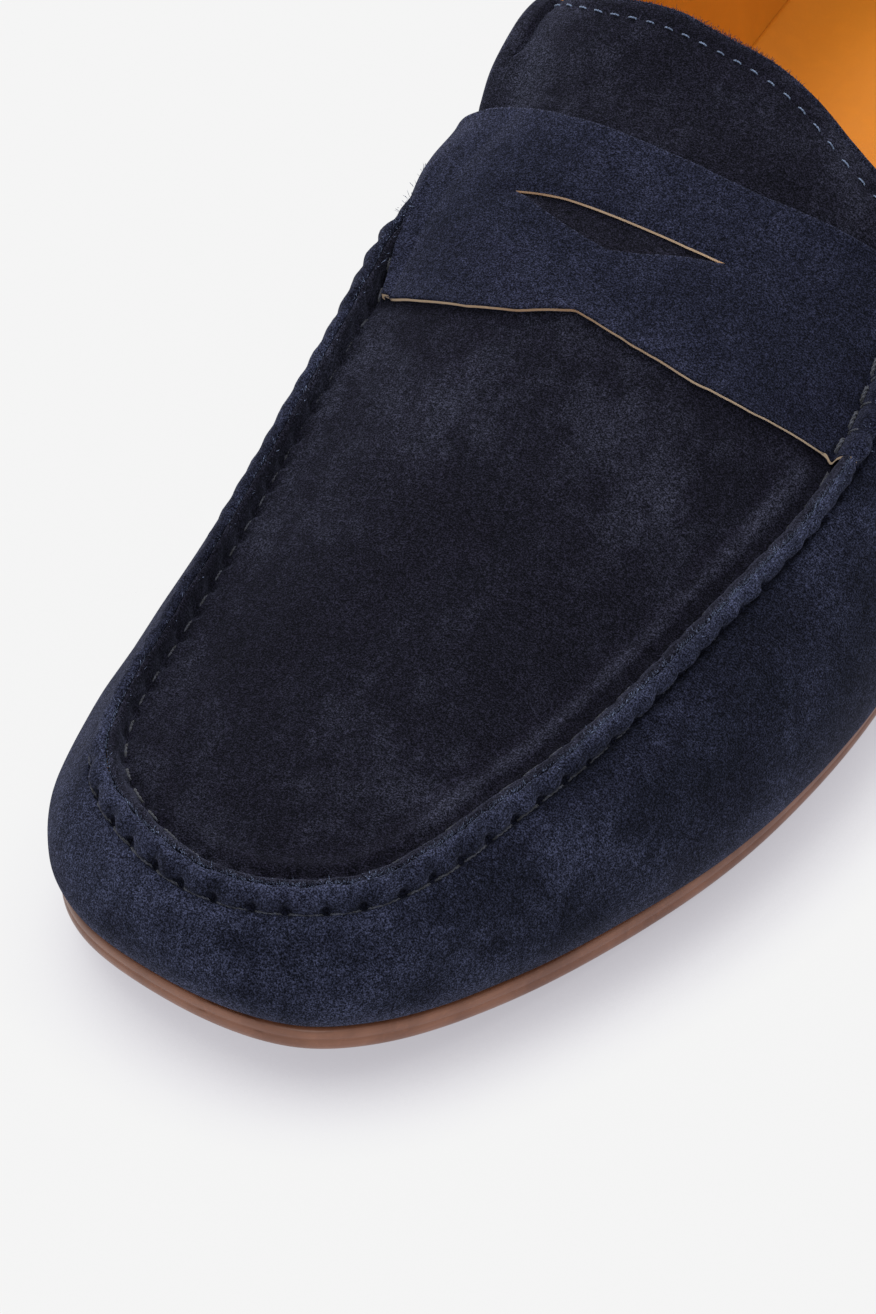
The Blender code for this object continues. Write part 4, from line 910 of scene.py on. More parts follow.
def seam_distance(x, y):
    """How far a plan point is inside the recessed line, how far the nearest stitch hole is along it."""
    sh = np.shape(x)
    P = np.column_stack([np.ravel(x), np.ravel(y)])
    dist, idx = np.full(len(P), 99.0), np.zeros(len(P), int)
    for i in range(0, len(_el), 60):
        q = _el[i:i + 60]
        dd = np.hypot(P[:, None, 0] - q[None, :, 0], P[:, None, 1] - q[None, :, 1])
        j = dd.argmin(1)
        m = dd[np.arange(len(P)), j]
        better = m < dist
        dist[better], idx[better] = m[better], j[better] + i
    return dist.reshape(sh), _e_near[idx].reshape(sh)


def plug_relief(x, y):
    """Soft welt inside the seam, stitch dimples and slow swells of the instep, flat where the strap lies."""
    edge, near = seam_distance(x, y)
    ahead = 1 - step(-6.0, -0.5, y - soft_line(front, x))
    behind = step(2.0, 7.0, y - soft_line(back, x))
    gentle = step(-12, 22, x) * step(10, 45, y) + 0.35 * (1 - step(10, 45, y))
    med = (1 - step(-14, -2, x)) * step(16, 36, y)
    fill = 1.25 * gentle * np.exp(-(edge / 1.3)**2) + 0.95 * med * np.exp(-(edge / 2.2)**2)
    welt = (0.40 + 0.45 * gentle) * np.exp(-((edge - 3.0 + 0.5 * gentle) / 1.3)**2) * (1 - 0.6 * med)
    roll = 1.2 * np.exp(-(edge / 1.6)**2) * (x < 0) * step(138, 146, y) * (1 - step(164, 168, y))
    dip = -(0.35 + 0.35 * (1 - gentle)) * np.exp(-((edge - 0.5) / 0.8)**2) * np.exp(-(near / 0.85)**2)
    slow = (0.26 * noise2(x, y, 22.0, 41) + 0.10 * noise2(x, y, 7.0, 42)) * np.maximum(ahead, behind)
    d = y - (tongue_end(x) - TONGUE_ROW)
    nx = np.abs(x[..., None] - TONGUE_X).min(-1)
    dimple = -0.20 * np.exp(-(nx / 0.6)**2 - (d / 0.8)**2) - 0.10 * np.exp(-(d / 1.1)**2)
    edge_roll = -0.30 * np.exp(-((y - tongue_end(x)) / 0.8)**2)
    return (fill + welt) * ahead + dip * ahead + slow + (dimple + edge_roll) * behind + roll


def top_shape(x, y, off=0.0, relief=True):
    """The instep with its relief, moved off along the normal."""
    zx = (top_z(x + 0.5, y) - top_z(x - 0.5, y))
    zy = (top_z(x, y + 0.5) - top_z(x, y - 0.5))
    n = unit(np.stack([-zx, -zy, np.ones_like(zx)], -1))
    r = plug_relief(x, y) if relief else 0.0
    return np.stack([x, y, top_z(x, y)], -1) + n * (np.asarray(off + r, float)[..., None])


SM, SL = inside_line(UM), inside_line(UL)
X = SM[:, None, 0] * (1 - ex) + SL[:, None, 0] * ex
Y = SM[:, None, 1] * (1 - ex) + SL[:, None, 1] * ex
SMT, SLT = inside_line(UMT), inside_line(ULT)
lastx, lasty = X[-1], Y[-1]
TX = SMT[:, None, 0] * (1 - ex) + SLT[:, None, 0] * ex
base_y = np.interp(TX.ravel(), lastx, lasty).reshape(TX.shape) * (1 - ft[:, None]) + (tongue_end(TX) + 0.25 * noise1(TX, 5.0, 77)) * ft[:, None]
TY = base_y + (SMT[:, None, 1] - base_y[:, :1]) * (1 - ex)**4 + (SLT[:, None, 1] - base_y[:, -1:]) * ex**4
X, Y = np.concatenate([X, TX]), np.concatenate([Y, TY])
UMA, ULA = np.concatenate([UM, UMT]), np.concatenate([UL, ULT])
topA, botA = top_shape(X, Y), top_shape(X, Y, -SUEDE + 0.1, relief=False)

A_IN = np.array([0.05, 0.13, 0.26, 0.40, 0.53, 0.64, 0.73, 0.80, 0.86, 0.91, 0.95, 0.98])
G_IN = np.array([0.0, 0.0, 0.02, 0.08, 0.19, 0.34, 0.51, 0.66, 0.78, 0.87, 0.94, 0.985])
B_IN = np.array([0.62, 0.95, 1.0, 0.92, 0.76, 0.58, 0.42, 0.28, 0.18, 0.10, 0.04, 0.01])
FOLD = np.array([(1.05, -3.2), (1.02, -2.7), (0.95, -2.1), (0.8, -1.45), (0.55, -0.85), (0.25, -0.4), (-0.15, -0.05), (-0.6, 0.2), (-1.1, 0.4), (-1.65, 0.55), (-2.15, 0.66), (-2.6, 0.76)])
FOLD_U = np.array([(0.1, -3.1), (0.0, -2.6), (-0.1, -2.1), (-0.3, -1.7), (-0.55, -1.4), (-0.85, -1.15), (-1.2, -0.95), (-1.5, -0.8), (-1.85, -0.68), (-2.2, -0.58), (-2.5, -0.5), (-2.8, -0.42)])


def inner_lip(u, foot):
    """The ridge's inner half from its cut top down to the apron at foot; past the ridge the edge lies flat or folds over the topline."""
    near, wave = hole_near(u)
    k, d, z = ridge(u), crest_d(u), strap_zone(u)
    c = crest(u)
    a = foot_in(u)
    hz = foot[:, 2] - c[:, 2]
    f_ = over_fold(u)
    out = []
    for j in range(12):
        s_ = G_IN[j]
        rag = (0.14 * noise1(d, 0.8, 21 + j % 5) + 0.26 * noise1(d, 3.3, 5) + 0.16 * noise1(d, 11.0, 6)) * (1 - s_)
        pin = np.exp(-(near / 0.85)**2) * 0.30 * math.exp(-((s_ - 0.75) / 0.3)**2)
        nn = a * A_IN[j] + 0.10 * noise1(d, 7.0, 31) * (1 - s_) + pin + 0.06 * wave * math.sin(math.pi * s_)
        hh = (0.95 - 0.15 * z) * B_IN[j] + hz * G_IN[j] + rag
        fn = FOLD[j, 0] * f_ + (-2.5 - 0.035 * j) * (1 - f_)
        fh = FOLD[j, 1] * f_ + (-0.85 - 0.35 * (1 - j / 11.0)) * (1 - f_)
        last = by_crest(u, a, hz)
        out.append(by_crest(u, nn * k + fn * (1 - k), hh * k + fh * (1 - k)))
    return np.stack(out, 1)


def lip_under(u):
    k = ridge(u)
    f_ = over_fold(u)
    N_ = np.array([-0.12, -0.12, -0.13, -0.16, -0.22, -0.3, -0.42, -0.6, -0.9, -1.3, -1.9, -2.5])
    H_ = np.array([0.2, 0.1, -0.2, -0.5, -0.9, -1.3, -1.8, -2.3, -2.8, -3.15, -3.4, -3.55])
    out = []
    for j in range(12):
        fn = FOLD_U[j, 0] * f_ + (-2.5 - 0.035 * j) * (1 - f_)
        fh = FOLD_U[j, 1] * f_ + (-2.1) * (1 - f_)
        out.append(by_crest(u, N_[j] * k + fn * (1 - k), H_[j] * k + fh * (1 - k)))
    return np.stack(out, 1)


lipM, lipL = inner_lip(UMA, topA[:, 0]), inner_lip(ULA, topA[:, -1])
uM, uL = lip_under(UMA), lip_under(ULA)
OUTA = np.concatenate([lipM, topA, lipL[:, ::-1]], 1)
INA = np.concatenate([uM, botA, uL[:, ::-1]], 1)
ra = np.zeros(OUTA.shape[:2])
prof = np.array([1.0, 1.0, 0.6, 0.2, 0.03])
ra[:, :5] = prof[None] * (ridge(UMA) * rawness(UMA))[:, None]
ra[:, -5:] = prof[None, ::-1] * (ridge(ULA) * rawness(ULA))[:, None]
edge_t = np.clip((ft - 0.90) / 0.10, 0, 1)[:, None]
ra[NR:, :] = np.maximum(ra[NR:, :], edge_t * 0.55)
_ed, _ = seam_distance(X, Y)
_gl = step(-12, 22, X) * step(14, 45, Y) * (1 - step(-6.0, 0.0, Y - soft_line(front, X)))
_gm = (1 - step(-16, -2, X)) * step(20, 45, Y)
# painted light and shade on the apron: a painted highlight along the top of the welt inside the seam, painted shade in
# the valley at the seam, and a painted highlight on the inner side's welt
apron_nap_and_painted_shading = 1.5 * _gl * np.exp(-((_ed - 2.9) / 1.1)**2) - 0.9 * _gl * np.exp(-((_ed - 0.6) / 0.9)**2) + 0.7 * _gm * np.exp(-((_ed - 3.0) / 2.2)**2)
# painted light: lighter patches on both sides and on the tongue's corners, strongest up the left side, and a darker
# middle where the apron faces the camera
for cx, cy, rx, ry, am in ((-14, 91, 11, 10, 1.7), (22, 92, 8, 9, 0.6), (-24, 62, 6, 14, 0.5), (-29, 150, 6, 9, 0.9), (27, 148, 6, 6, 0.5), (6, 60, 26, 30, -0.45)):
    apron_nap_and_painted_shading = apron_nap_and_painted_shading + am * np.exp(-((X - cx) / rx)**2 - ((Y - cy) / ry)**2)
apron_nap_and_painted_shading = apron_nap_and_painted_shading + 0.20 * noise2(X, Y, 9.0, 311)
apron_nap_and_painted_shading_with_lips = np.concatenate([np.repeat(apron_nap_and_painted_shading[:, :1], 12, 1), apron_nap_and_painted_shading, np.repeat(apron_nap_and_painted_shading[:, -1:], 12, 1)], 1)
sheet("apron_suede", OUTA, INA, [suede_plug_painted_darker], ("apron_and_tongue",), rim=3, bulge=0.25, attrs={"raw": np.clip(ra, 0, 1), "nap_and_painted_shading": apron_nap_and_painted_shading_with_lips}, merge=0.01)

# ---------------------------------------------------------------- saddle strap
SR, SX, SE = 90, 170, 16
STRAP_T = 0.85
VIS_BACK = np.array([(-40.0, 141.0), (-37.3, 141.6), (-35.4, 144.4), (-33.2, 144.1), (-29.2, 143.0), (-25.2, 141.8), (-21.8, 141.0), (-17.2, 140.3), (-7.2, 140.0), (8.9, 139.7), (13.3, 139.9), (19.5, 141.2), (24.3, 142.6), (30.3, 144.3), (38.0, 145.6)])


def curve(pts, n):
    """A smooth curve through a few points, n points along it."""
    p = np.array(pts, float)
    p = np.concatenate([2 * p[:1] - p[1:2], p, 2 * p[-1:] - p[-2:-1]])
    q = np.linspace(0, len(pts) - 1 - 1e-6, n)
    i = q.astype(int)
    t = (q - i)[:, None]
    a, b, c, d = p[i], p[i + 1], p[i + 2], p[i + 3]
    return 0.5 * (2 * b + (c - a) * t + (2 * a - 5 * b + 4 * c - d) * t**2 + (3 * b - a - 3 * c + d) * t**3)


def strap_line(f_, x):
    return (1 - f_) * (soft_line(front, x, 0.5) + 0.05 * noise1(x, 1.6, 55)) + f_ * (soft_line(VIS_BACK, x, 1.6) + 0.06 * noise1(x, 2.0, 56))


_scan = {sd: np.linspace(float(u_at(98.0, sd)), float(u_at(155.0, sd)), 700) for sd in (-1, 1)}


def meet(f_, n_in, sd):
    """u whose point n_in out from the crest lies on the strap's line f_."""
    u = _scan[sd]
    p = by_crest(u, n_in, 0 * u)
    g_ = p[:, 1] - strap_line(f_, p[:, 0])
    i = int(np.argmax(g_ > 0))
    return float(np.interp(0.0, (g_[i - 1], g_[i]), (u[i - 1], u[i])))


def strap_grid(under=False):
    G = []
    th = 0.0 if under else STRAP_T
    for f_ in np.linspace(0, 1, SR):
        kf = float(step(0.35, 0.85, f_))
        n0 = -5.0 - 3.2 * kf
        a, b_ = meet(f_, n0, -1), meet(f_, -5.2, 1)
        pa, pb = by_crest(np.array(a), n0, 0.0), by_crest(np.array(b_), -5.2, 0.0)
        q = np.linspace(0, 1, SX)
        x = pa[0] * (1 - q) + pb[0] * q
        y = strap_line(f_, x)
        lift_ = 0.10 * math.exp(-(f_ / 0.05)**2)
        slow = 0.10 * noise2(x, y, 16.0, 61)
        yr = np.interp(x, (-21.0, -12.0, -2.0, 8.0, 15.0), (126.2, 126.8, 127.0, 127.1, 127.7))
        press = 0.50 * np.exp(-((y - yr) / 1.2)**2) * step(-24, -19, x) * (1 - step(12, 18, x))
        P = top_shape(x, y, GAP - 0.02 + th + (lift_ + slow - press if not under else 0.0), relief=False)
        # inner end: rolls down and out over the ridge
        ut = float(u_at(108.8 * (1 - f_) + 141.3 * f_, -1))
        tn = float(np.interp(f_, (0.0, 0.07, 0.25, 0.53, 0.77, 1.0), (-2.5, -2.2, -1.0, 0.5, 1.9, 3.1)))
        tipz = float(np.interp(f_, (0.0, 0.07, 0.25, 0.53, 0.77, 1.0), (-1.75, -1.5, -0.75, -0.9, -2.0, -2.4)))
        ul = np.linspace(ut, a, 6)
        z0 = float(P[0, 2] - crest(np.array(a))[2])
        lo_h = [(tn, tipz), (tn * 0.86 - 0.35, tipz + 0.95), (tn * 0.62 - 1.2, tipz * 0.45 + z0 * 0.45 + 0.30), (tn * 0.36 - 2.6, tipz * 0.2 + z0 * 0.72 + 0.2), (tn * 0.15 - 4.0, tipz * 0.06 + z0 * 0.92 + 0.1)]
        hi_h = [(tn, tipz), (tn - 0.55, tipz + 1.05), (tn - 1.75, tipz + 2.35), (-1.7, z0 - 2.35), (-4.9, z0 - 0.85)]
        hn = [(p_[0] * (1 - kf) + q_[0] * kf, p_[1] * (1 - kf) + q_[1] * kf) for p_, q_ in zip(lo_h, hi_h)]
        if under:
            hn = [(n_ - 0.75, h_ - 0.35) for n_, h_ in hn]
        key = [by_crest(np.array(ul[i]), n_, h_) for i, (n_, h_) in enumerate(hn)] + [P[0]]
        left = curve(key, SE)[:-1]
        # outer end: stitched down inside the ridge, then puffed up over it, its edge drawn in at every stitch
        ur = np.linspace(b_, float(u_at(113.4 * (1 - f_) + 145.4 * f_, 1)), 7)
        near, wave = hole_near(ur)
        puff = (1 - wave) / 2
        dimp = np.exp(-(near / 0.9)**2)
        z1 = float(P[-1, 2] - crest(np.array(b_))[2])
        rag = 0.25 * noise1(np.array([f_ * 30.0]), 1.1, 66)[0]
        prof = [(-3.9, z1 * 0.75 - 0.05), (-3.1, -0.55 - 0.45 * dimp[2]), (-2.2, 0.20 + 0.15 * puff[3]), (-1.1, 0.95 + 0.40 * puff[4]),
                (0.1 + 0.3 * puff[5], 1.15 + 0.55 * puff[5]), (1.05 + 0.75 * puff[6] + rag, 0.40 + 0.45 * puff[6])]
        if under:
            prof = [(n_ - 0.15 - 0.3 * (i > 3), h_ - 0.80) for i, (n_, h_) in enumerate(prof)]
        key = [P[-1]] + [by_crest(np.array(ur[i + 1]), n_, h_) for i, (n_, h_) in enumerate(prof)]
        right = curve(key, SE + 8)[1:]
        G.append(np.concatenate([left, P, right]))
    return np.array(G)


SO, SI = strap_grid(), strap_grid(True)
_x = np.linspace(0, 1, SO.shape[1])[None, :] + 0 * SO[..., 0]
_f = np.linspace(0, 1, SR)[:, None] + 0 * _x
# painted light on the strap over random pile patches: a painted sheen at its inner end, lighter along its front and
# back edges, darker towards its outer end
strap_nap_and_painted_shading = 0.35 * noise2(SO[..., 0], SO[..., 1], 10.0, 321) + 0.9 * np.exp(-(_x / 0.10)**2) + 0.5 * np.exp(-((_f - 0.04) / 0.05)**2) + 0.35 * np.exp(-((1 - _f) / 0.03)**2) - 0.25 * step(0.6, 0.9, _x)
raw_s = np.zeros(SO.shape[:2])
raw_s[:, -5:] = np.array([0.05, 0.12, 0.2, 0.3, 0.4])[None]
strap = sheet("saddle_strap_suede", SO, SI, [suede_strap_painted_paler], ("saddle_strap",), rim=4, bulge=0.03, raw=("start_cap",), raw_mat=raw_beige,
              attrs={"raw": raw_s, "nap_and_painted_shading": strap_nap_and_painted_shading})
sl = np.array([(-19.6, 126.1), (-17.5, 125.3), (-14.7, 123.9), (-10.3, 122.4), (-5.8, 121.4), (-1.8, 120.8), (2.7, 122.3), (7.0, 124.3), (11.0, 126.1), (13.9, 127.5), (8.0, 127.1), (-2.0, 127.0), (-12.0, 126.8)])   # the slot pulled slightly shut
cutter_v = np.concatenate([np.column_stack([sl, np.full(len(sl), 90.0)]), np.column_stack([sl, np.full(len(sl), 40.0)])])
n = len(sl)
cf = [tuple(range(n)), tuple(range(2 * n - 1, n - 1, -1))] + [(i, (i + 1) % n, n + (i + 1) % n, n + i) for i in range(n)]
cm = bpy.data.meshes.new("slot_tool")
cm.from_pydata([tuple(p) for p in to_world(cutter_v)], [], cf)
cm.materials.append(raw_beige)
bm = bmesh.new()
bm.from_mesh(cm)
bmesh.ops.recalc_face_normals(bm, faces=bm.faces)
bm.to_mesh(cm)
bm.free()
tool = bpy.data.objects.new("slot_tool", cm)
bpy.context.scene.collection.objects.link(tool)
bo = strap.modifiers.new("slot", "BOOLEAN")
bo.operation = "DIFFERENCE"
bo.solver = "EXACT"
bo.material_mode = "TRANSFER"
bo.object = tool
dep = bpy.context.evaluated_depsgraph_get()
new = bpy.data.meshes.new_from_object(strap.evaluated_get(dep))
strap.modifiers.clear()
strap.data = new
bpy.data.objects.remove(tool, do_unlink=True)

# ---------------------------------------------------------------- quarters, backstay, linings
def rear_wall(name, ua, ub, nu, off_o, off_i, mats, replaces, v0=0.0, v1=1.0, nv=46, relief=0.2, seed=1, rim=3, bulge=0.1, drop=0.055):
    U = np.linspace(ua, ub, nu)
    v = np.linspace(v0, v1, nv)
    Vg = v[None, :] + 0 * U[:, None]
    Ug = U[:, None] + 0 * v[None, :]
    face = wall_face(Ug, Vg)
    oo = off_o(face[..., 1]) if callable(off_o) else off_o
    oi = off_i(face[..., 1]) if callable(off_i) else off_i
    rel = relief * noise2(Ug, Vg * 55, 22.0, seed) * np.sin(np.clip((Vg - v0) / (v1 - v0), 0, 1) * math.pi)
    if v1 == 1.0:
        Vg = Vg * (1 - drop * over_fold(Ug))
    O, I = wall(Ug, Vg, oo + rel), wall(Ug, Vg, oi + rel)
    return sheet(name, O, I, mats, replaces, rim=rim, bulge=bulge, attrs={"raw": np.zeros(O.shape[:2])})


q_in = rear_wall("quarter_inner_suede", U_SEAM[-1] + 0.2, U_HEEL - 0.15, 260, 0.0, -SUEDE + 0.1, [suede], ("quarter_inner",), seed=9, bulge=0.35)
q_out = rear_wall("quarter_outer_suede", U_HEEL + 0.15, U_SEAM[1] + PERIOD - 0.2, 260, 0.0, -SUEDE + 0.1, [suede], ("quarter_outer",), seed=10, bulge=0.35)


def strip(name, u_mid, width, v, off_o, off_i, mats, replaces, n=25, bulge=0.15):
    s_ = np.linspace(-1, 1, n)
    Ug = u_mid + s_[:, None] * width(v)[None, :]
    Vg = v[None, :] + 0 * s_[:, None]
    O, I = wall(Ug, Vg, off_o + 0.05 * noise2(Ug, Vg * 50, 9.0, 14)), wall(Ug, Vg, off_i)
    return sheet(name, O, I, mats, replaces, rim=3, bulge=bulge, attrs={"raw": np.zeros(O.shape[:2])})


strip("backstay_suede", U_HEEL, lambda v: 11.0 - 4.0 * v + 0.4 * np.sin(v * 9), np.linspace(0.0, 1.0, 60), GAP + 1.15, 0.08, [suede], ("backstay",))


def lining_off(y):
    return -(SUEDE + GAP + 0.1 + LINING / 2) - 1.2 * (1 - step(38, 58, y)) - 1.5 * step(176, 196, y)


GRIP = 238.0
ugm, ugl = float(u_feather(GRIP, -1)), float(u_feather(GRIP, 1))
lo = lambda y: lining_off(y) + LINING / 2
li = lambda y: lining_off(y) - LINING / 2
rear_wall("quarter_lining_inner_leather", U_SEAM[-1] + 0.5, ugm - 0.1, 150, lo, li, [lining], ("quarter_lining_inner",), v0=0.03, v1=1.0, relief=0.08, seed=15)
rear_wall("quarter_lining_outer_leather", ugl + PERIOD + 0.1, U_SEAM[1] + PERIOD - 0.5, 150, lo, li, [lining], ("quarter_lining_outer",), v0=0.03, v1=1.0, relief=0.08, seed=16)
rear_wall("heel_grip_leather", ugm + 0.1, ugl + PERIOD - 0.1, 150, lo, li, [grip], ("heel_grip",), v0=0.03, v1=1.0, relief=0.08, seed=17)

# vamp lining: one shell down both sides and over the top
vl = np.linspace(0.03, 0.86, 30)
NL = 150
lm, ll = np.interp(np.linspace(0, 1, NL) * qm[-1], qm, um_), np.interp(np.linspace(0, 1, NL) * ql[-1], ql, ul_)
sm, sl_ = seam(lm), seam(ll)
exl = np.linspace(0, 1, 50)
XL, YL = sm[:, None, 0] * (1 - exl) + sl_[:, None, 0] * exl, sm[:, None, 1] * (1 - exl) + sl_[:, None, 1] * exl


def vl_side(u, thick, order):
    f_ = wall_face(u[:, None], order[None, :])
    return wall(u[:, None], order[None, :], lining_off(f_[..., 1]) + thick)


def vl_top(thick):
    P = top_shape(XL, YL, lining_off(YL) + thick, relief=False)
    P[:, 0, 2] -= 0.35
    P[:, -1, 2] -= 0.35
    return P


VLO = np.concatenate([vl_side(lm, LINING / 2, vl), vl_top(LINING / 2), vl_side(ll, LINING / 2, vl[::-1])], 1)
VLI = np.concatenate([vl_side(lm, -LINING / 2, vl), vl_top(-LINING / 2), vl_side(ll, -LINING / 2, vl[::-1])], 1)
sheet("vamp_lining_leather", VLO, VLI, [lining], ("vamp_lining",), rim=1, bulge=0.05, merge=0.01, attrs={"raw": np.zeros(VLO.shape[:2])})
tx = np.linspace(-28.6, 27.0, 110)
TLx = tx[None, :] + np.zeros((24, 1))
ft = np.linspace(0, 1, 24)[:, None]
TLy = 152.3 * (1 - ft) + (tongue_end(tx)[None, :] + 0.15) * ft
sheet("tongue_lining_leather", top_shape(TLx, TLy, -SUEDE - 0.05, relief=False), top_shape(TLx, TLy, -SUEDE - 0.05 - LINING, relief=False), [lining], ("tongue_lining",), rim=2, bulge=0.15, attrs={"raw": np.zeros(TLx.shape)})

# ---------------------------------------------------------------- bottom of the shoe
def rail_u(n):
    """Matching u stations down the inner and the outer side, closer together where the outline turns."""
    out = []
    for end in (U_HEEL, U_HEEL - PERIOD):
        u = np.linspace(0, end, 3000)
        p = rows(u)[:, 3:5]
        o = outward(u)[:, :2]
        w = np.concatenate([[0], np.cumsum(np.linalg.norm(np.diff(p, axis=0), axis=1) + 22 * np.linalg.norm(np.diff(o, axis=0), axis=1))])
        out.append(np.interp(np.linspace(0, w[-1], n), w, u))
    return out


def lying(name, n, across, edge, z_high, z_low, mats, replaces, swell=None):
    """A sheet lying in the shoe or under it. edge is a list of (in from the feather line, 0 top to 1 bottom) down its rim."""
    A, B = rail_u(n)
    edge = np.array(edge, float)

    def side_pts(u, inset):
        p = rows(u)[:, 3:5]
        i = inset(p[:, 1]) if callable(inset) else inset
        return p - outward(u)[:, :2] * np.asarray(i)[..., None]

    rims = {}
    for key, u in (("a", A), ("b", B)):
        pts = []
        for e_in, e_t in edge:
            q = side_pts(u, (lambda y, e=e_in: base_inset(y) + e))
            pts.append((q, np.full(len(u), e_t)))
        rims[key] = pts
    s_ = np.linspace(0, 1, across + 2)[1:-1]
    cols = []
    cols += [rims["a"][0]]
    cols += [(rims["a"][0][0] * (1 - t) + rims["b"][0][0] * t, np.zeros(n)) for t in s_]
    cols += rims["b"]
    cols += [(rims["b"][-1][0] * (1 - t) + rims["a"][-1][0] * t, np.ones(n)) for t in s_]
    cols += rims["a"][::-1][:-1]
    P = []
    for q, t in cols:
        zh, zl = z_high(q[:, 0], q[:, 1]), z_low(q[:, 0], q[:, 1])
        P.append(np.column_stack([q, zh * (1 - t) + zl * t]))
    P = np.stack(P, 1)
    m = P.shape[1]
    F = [(i * m + j, i * m + (j + 1) % m, (i + 1) * m + (j + 1) % m, (i + 1) * m + j) for i in range(n - 1) for j in range(m)]
    ob = build(name, P.reshape(-1, 3), F, mats, replaces, merge=0.004)
    bm = bmesh.new()
    bm.from_mesh(ob.data)
    bmesh.ops.recalc_face_normals(bm, faces=bm.faces)
    bm.to_mesh(ob.data)
    bm.free()
    return ob


base_inset = lambda y: -0.3 + 0 * y
EDGE = [(0.9, 0.0), (0.45, 0.015), (0.15, 0.06), (0.02, 0.14), (-0.03, 0.24), (0.0, 0.33), (0.05, 0.38), (0.13, 0.41), (0.13, 0.44), (0.05, 0.47), (0.01, 0.53), (0.0, 0.62),
        (0.08, 0.71), (0.24, 0.80), (0.5, 0.88), (0.85, 0.945), (1.25, 0.985), (1.8, 1.0)]
lying("outsole_leather", 560, 14, EDGE, lambda x, y: feather_z(y) - 0.05 - 0.25 * (y > 0), lambda x, y: feather_z(y) - GAP - SOLE, [sole_edge], ("outsole",))


def inner_inset(y):
    return 3.5 + 1.5 * (1 - step(42, 62, y)) + 1.7 * step(172, 196, y)


def cupped_sock():
    """The footbed: flat where the foot stands and turned up against the lining all round."""
    n_, across, T_ = 300, 60, 1.0
    A, B = rail_u(n_)
    A, B = A.copy(), B.copy()

    def ring(u, v, deeper):
        f_ = wall_face(u, v + 0 * u)
        return wall(u, v + 0 * u, lining_off(f_[:, 1]) - LINING / 2 - deeper)

    VE = 0.20
    Pa, Pb = ring(A, VE, 0.12), ring(B, VE, 0.12)
    s_ = np.linspace(0, 1, across)
    s_ = 0.5 - 0.5 * np.cos(math.pi * s_) * 0.35 + (s_ - 0.5) * 0.65 - 0.0
    s_ = (s_ - s_[0]) / (s_[-1] - s_[0])
    G = Pa[:, None] * (1 - s_[None, :, None]) + Pb[:, None] * s_[None, :, None]
    half = np.linalg.norm(Pb - Pa, axis=1) / 2
    dist = np.minimum(s_[None], 1 - s_[None]) * 2 * half[:, None]
    ends = np.minimum(G[..., 1] - G[..., 1].min(), G[..., 1].max() - G[..., 1])
    dist = np.minimum(dist, ends * 1.2)
    w_ = np.exp(-(dist / 4.2)**1.6)
    flat = feather_z(G[..., 1]) + 5.5 - 0.25 * np.exp(-((G[..., 0] - 3) / 16)**2 - ((G[..., 1] - 255) / 18)**2) + 0.05 * noise2(G[..., 0], G[..., 1], 9.0, 91)
    edge_z = Pa[:, None, 2] * (1 - s_[None]) + Pb[:, None, 2] * s_[None]
    top_ = G.copy()
    top_[..., 2] = flat * (1 - w_) + edge_z * w_
    low = top_.copy()
    low[..., 2] -= T_
    ob = sheet("sock_leather", top_, low, [sock], ("sock_lining",), rim=2, bulge=0.06, merge=0.01, attrs={"raw": np.zeros(top_.shape[:2])})
    return ob


cupped_sock()

heel_u = np.linspace(float(u_feather(HEEL_FRONT + 1, -1)), float(u_feather(HEEL_FRONT + 1, 1)) + PERIOD, 260)
heel_line = rows(heel_u)[:, 3:5] - outward(heel_u)[:, :2] * 1.0
bx = np.linspace(heel_line[-1, 0], heel_line[0, 0], 62)[1:-1]
breast = np.column_stack([bx, HEEL_FRONT + 0.8 + 2.2 * (1 - np.clip(np.abs((bx - 4.0) / 33.0), 0, 1)**2)])
heel_line = np.concatenate([heel_line, breast])
hm = heel_line.mean(0)
hn = np.roll(heel_line, -1, 0) - np.roll(heel_line, 1, 0)
hn = unit(np.column_stack([hn[:, 1], -hn[:, 0]]))
hn *= np.sign((hn * (heel_line - hm)).sum(1).mean())


def lift(name, hi, lo, k, look, node):
    """One layer of the heel: slightly uneven trimmed edge, corners eased top and bottom, flat faces."""
    r = 0.35
    prof = [(0.9, 1.0), (0.35, 0.985), (0.1, 0.93), (0.0, 0.84), (0.04, 0.6), (0.06, 0.4), (0.02, 0.16), (0.12, 0.07), (0.38, 0.015), (0.9, 0.0)]
    base = hm + (heel_line - hm) * (1 - 0.012 * k)
    n_ = len(base)
    q = np.arange(n_)
    V, F = [], []
    for i, t in prof:
        wob = 0.05 * noise1(q, 9.0, 130 + k) * (0.2 < t < 0.9)
        line = hm + (base - hm) * (1 - 0.012 * (1 - t)) - hn * (i + 0.1 + wob[:, None] * 1.0)
        V.append(np.column_stack([line, np.full(n_, lo + (hi - lo) * t)]))
    for a in range(len(prof) - 1):
        for j in range(n_):
            F.append((a * n_ + j, a * n_ + (j + 1) % n_, (a + 1) * n_ + (j + 1) % n_, (a + 1) * n_ + j))
    F.append(tuple(range(n_)))
    F.append(tuple((len(prof) - 1) * n_ + j for j in reversed(range(n_))))
    ob = build(name, np.concatenate(V), F, [look], (node,))
    bm = bmesh.new()
    bm.from_mesh(ob.data)
    bmesh.ops.recalc_face_normals(bm, faces=bm.faces)
    bm.to_mesh(ob.data)
    bm.free()
    for p in ob.data.polygons:
        if len(p.vertices) > 4:
            p.use_smooth = False
    return ob


lift("heel_lift_upper_leather", 11.45, 7.95, 0, heel_stack, "heel_lift_upper")
lift("heel_lift_lower_leather", 7.75, 4.25, 1, heel_stack, "heel_lift_lower")
lift("heel_top_piece_rubber", 4.05, 0.0, 2, rubber, "heel_top_piece")

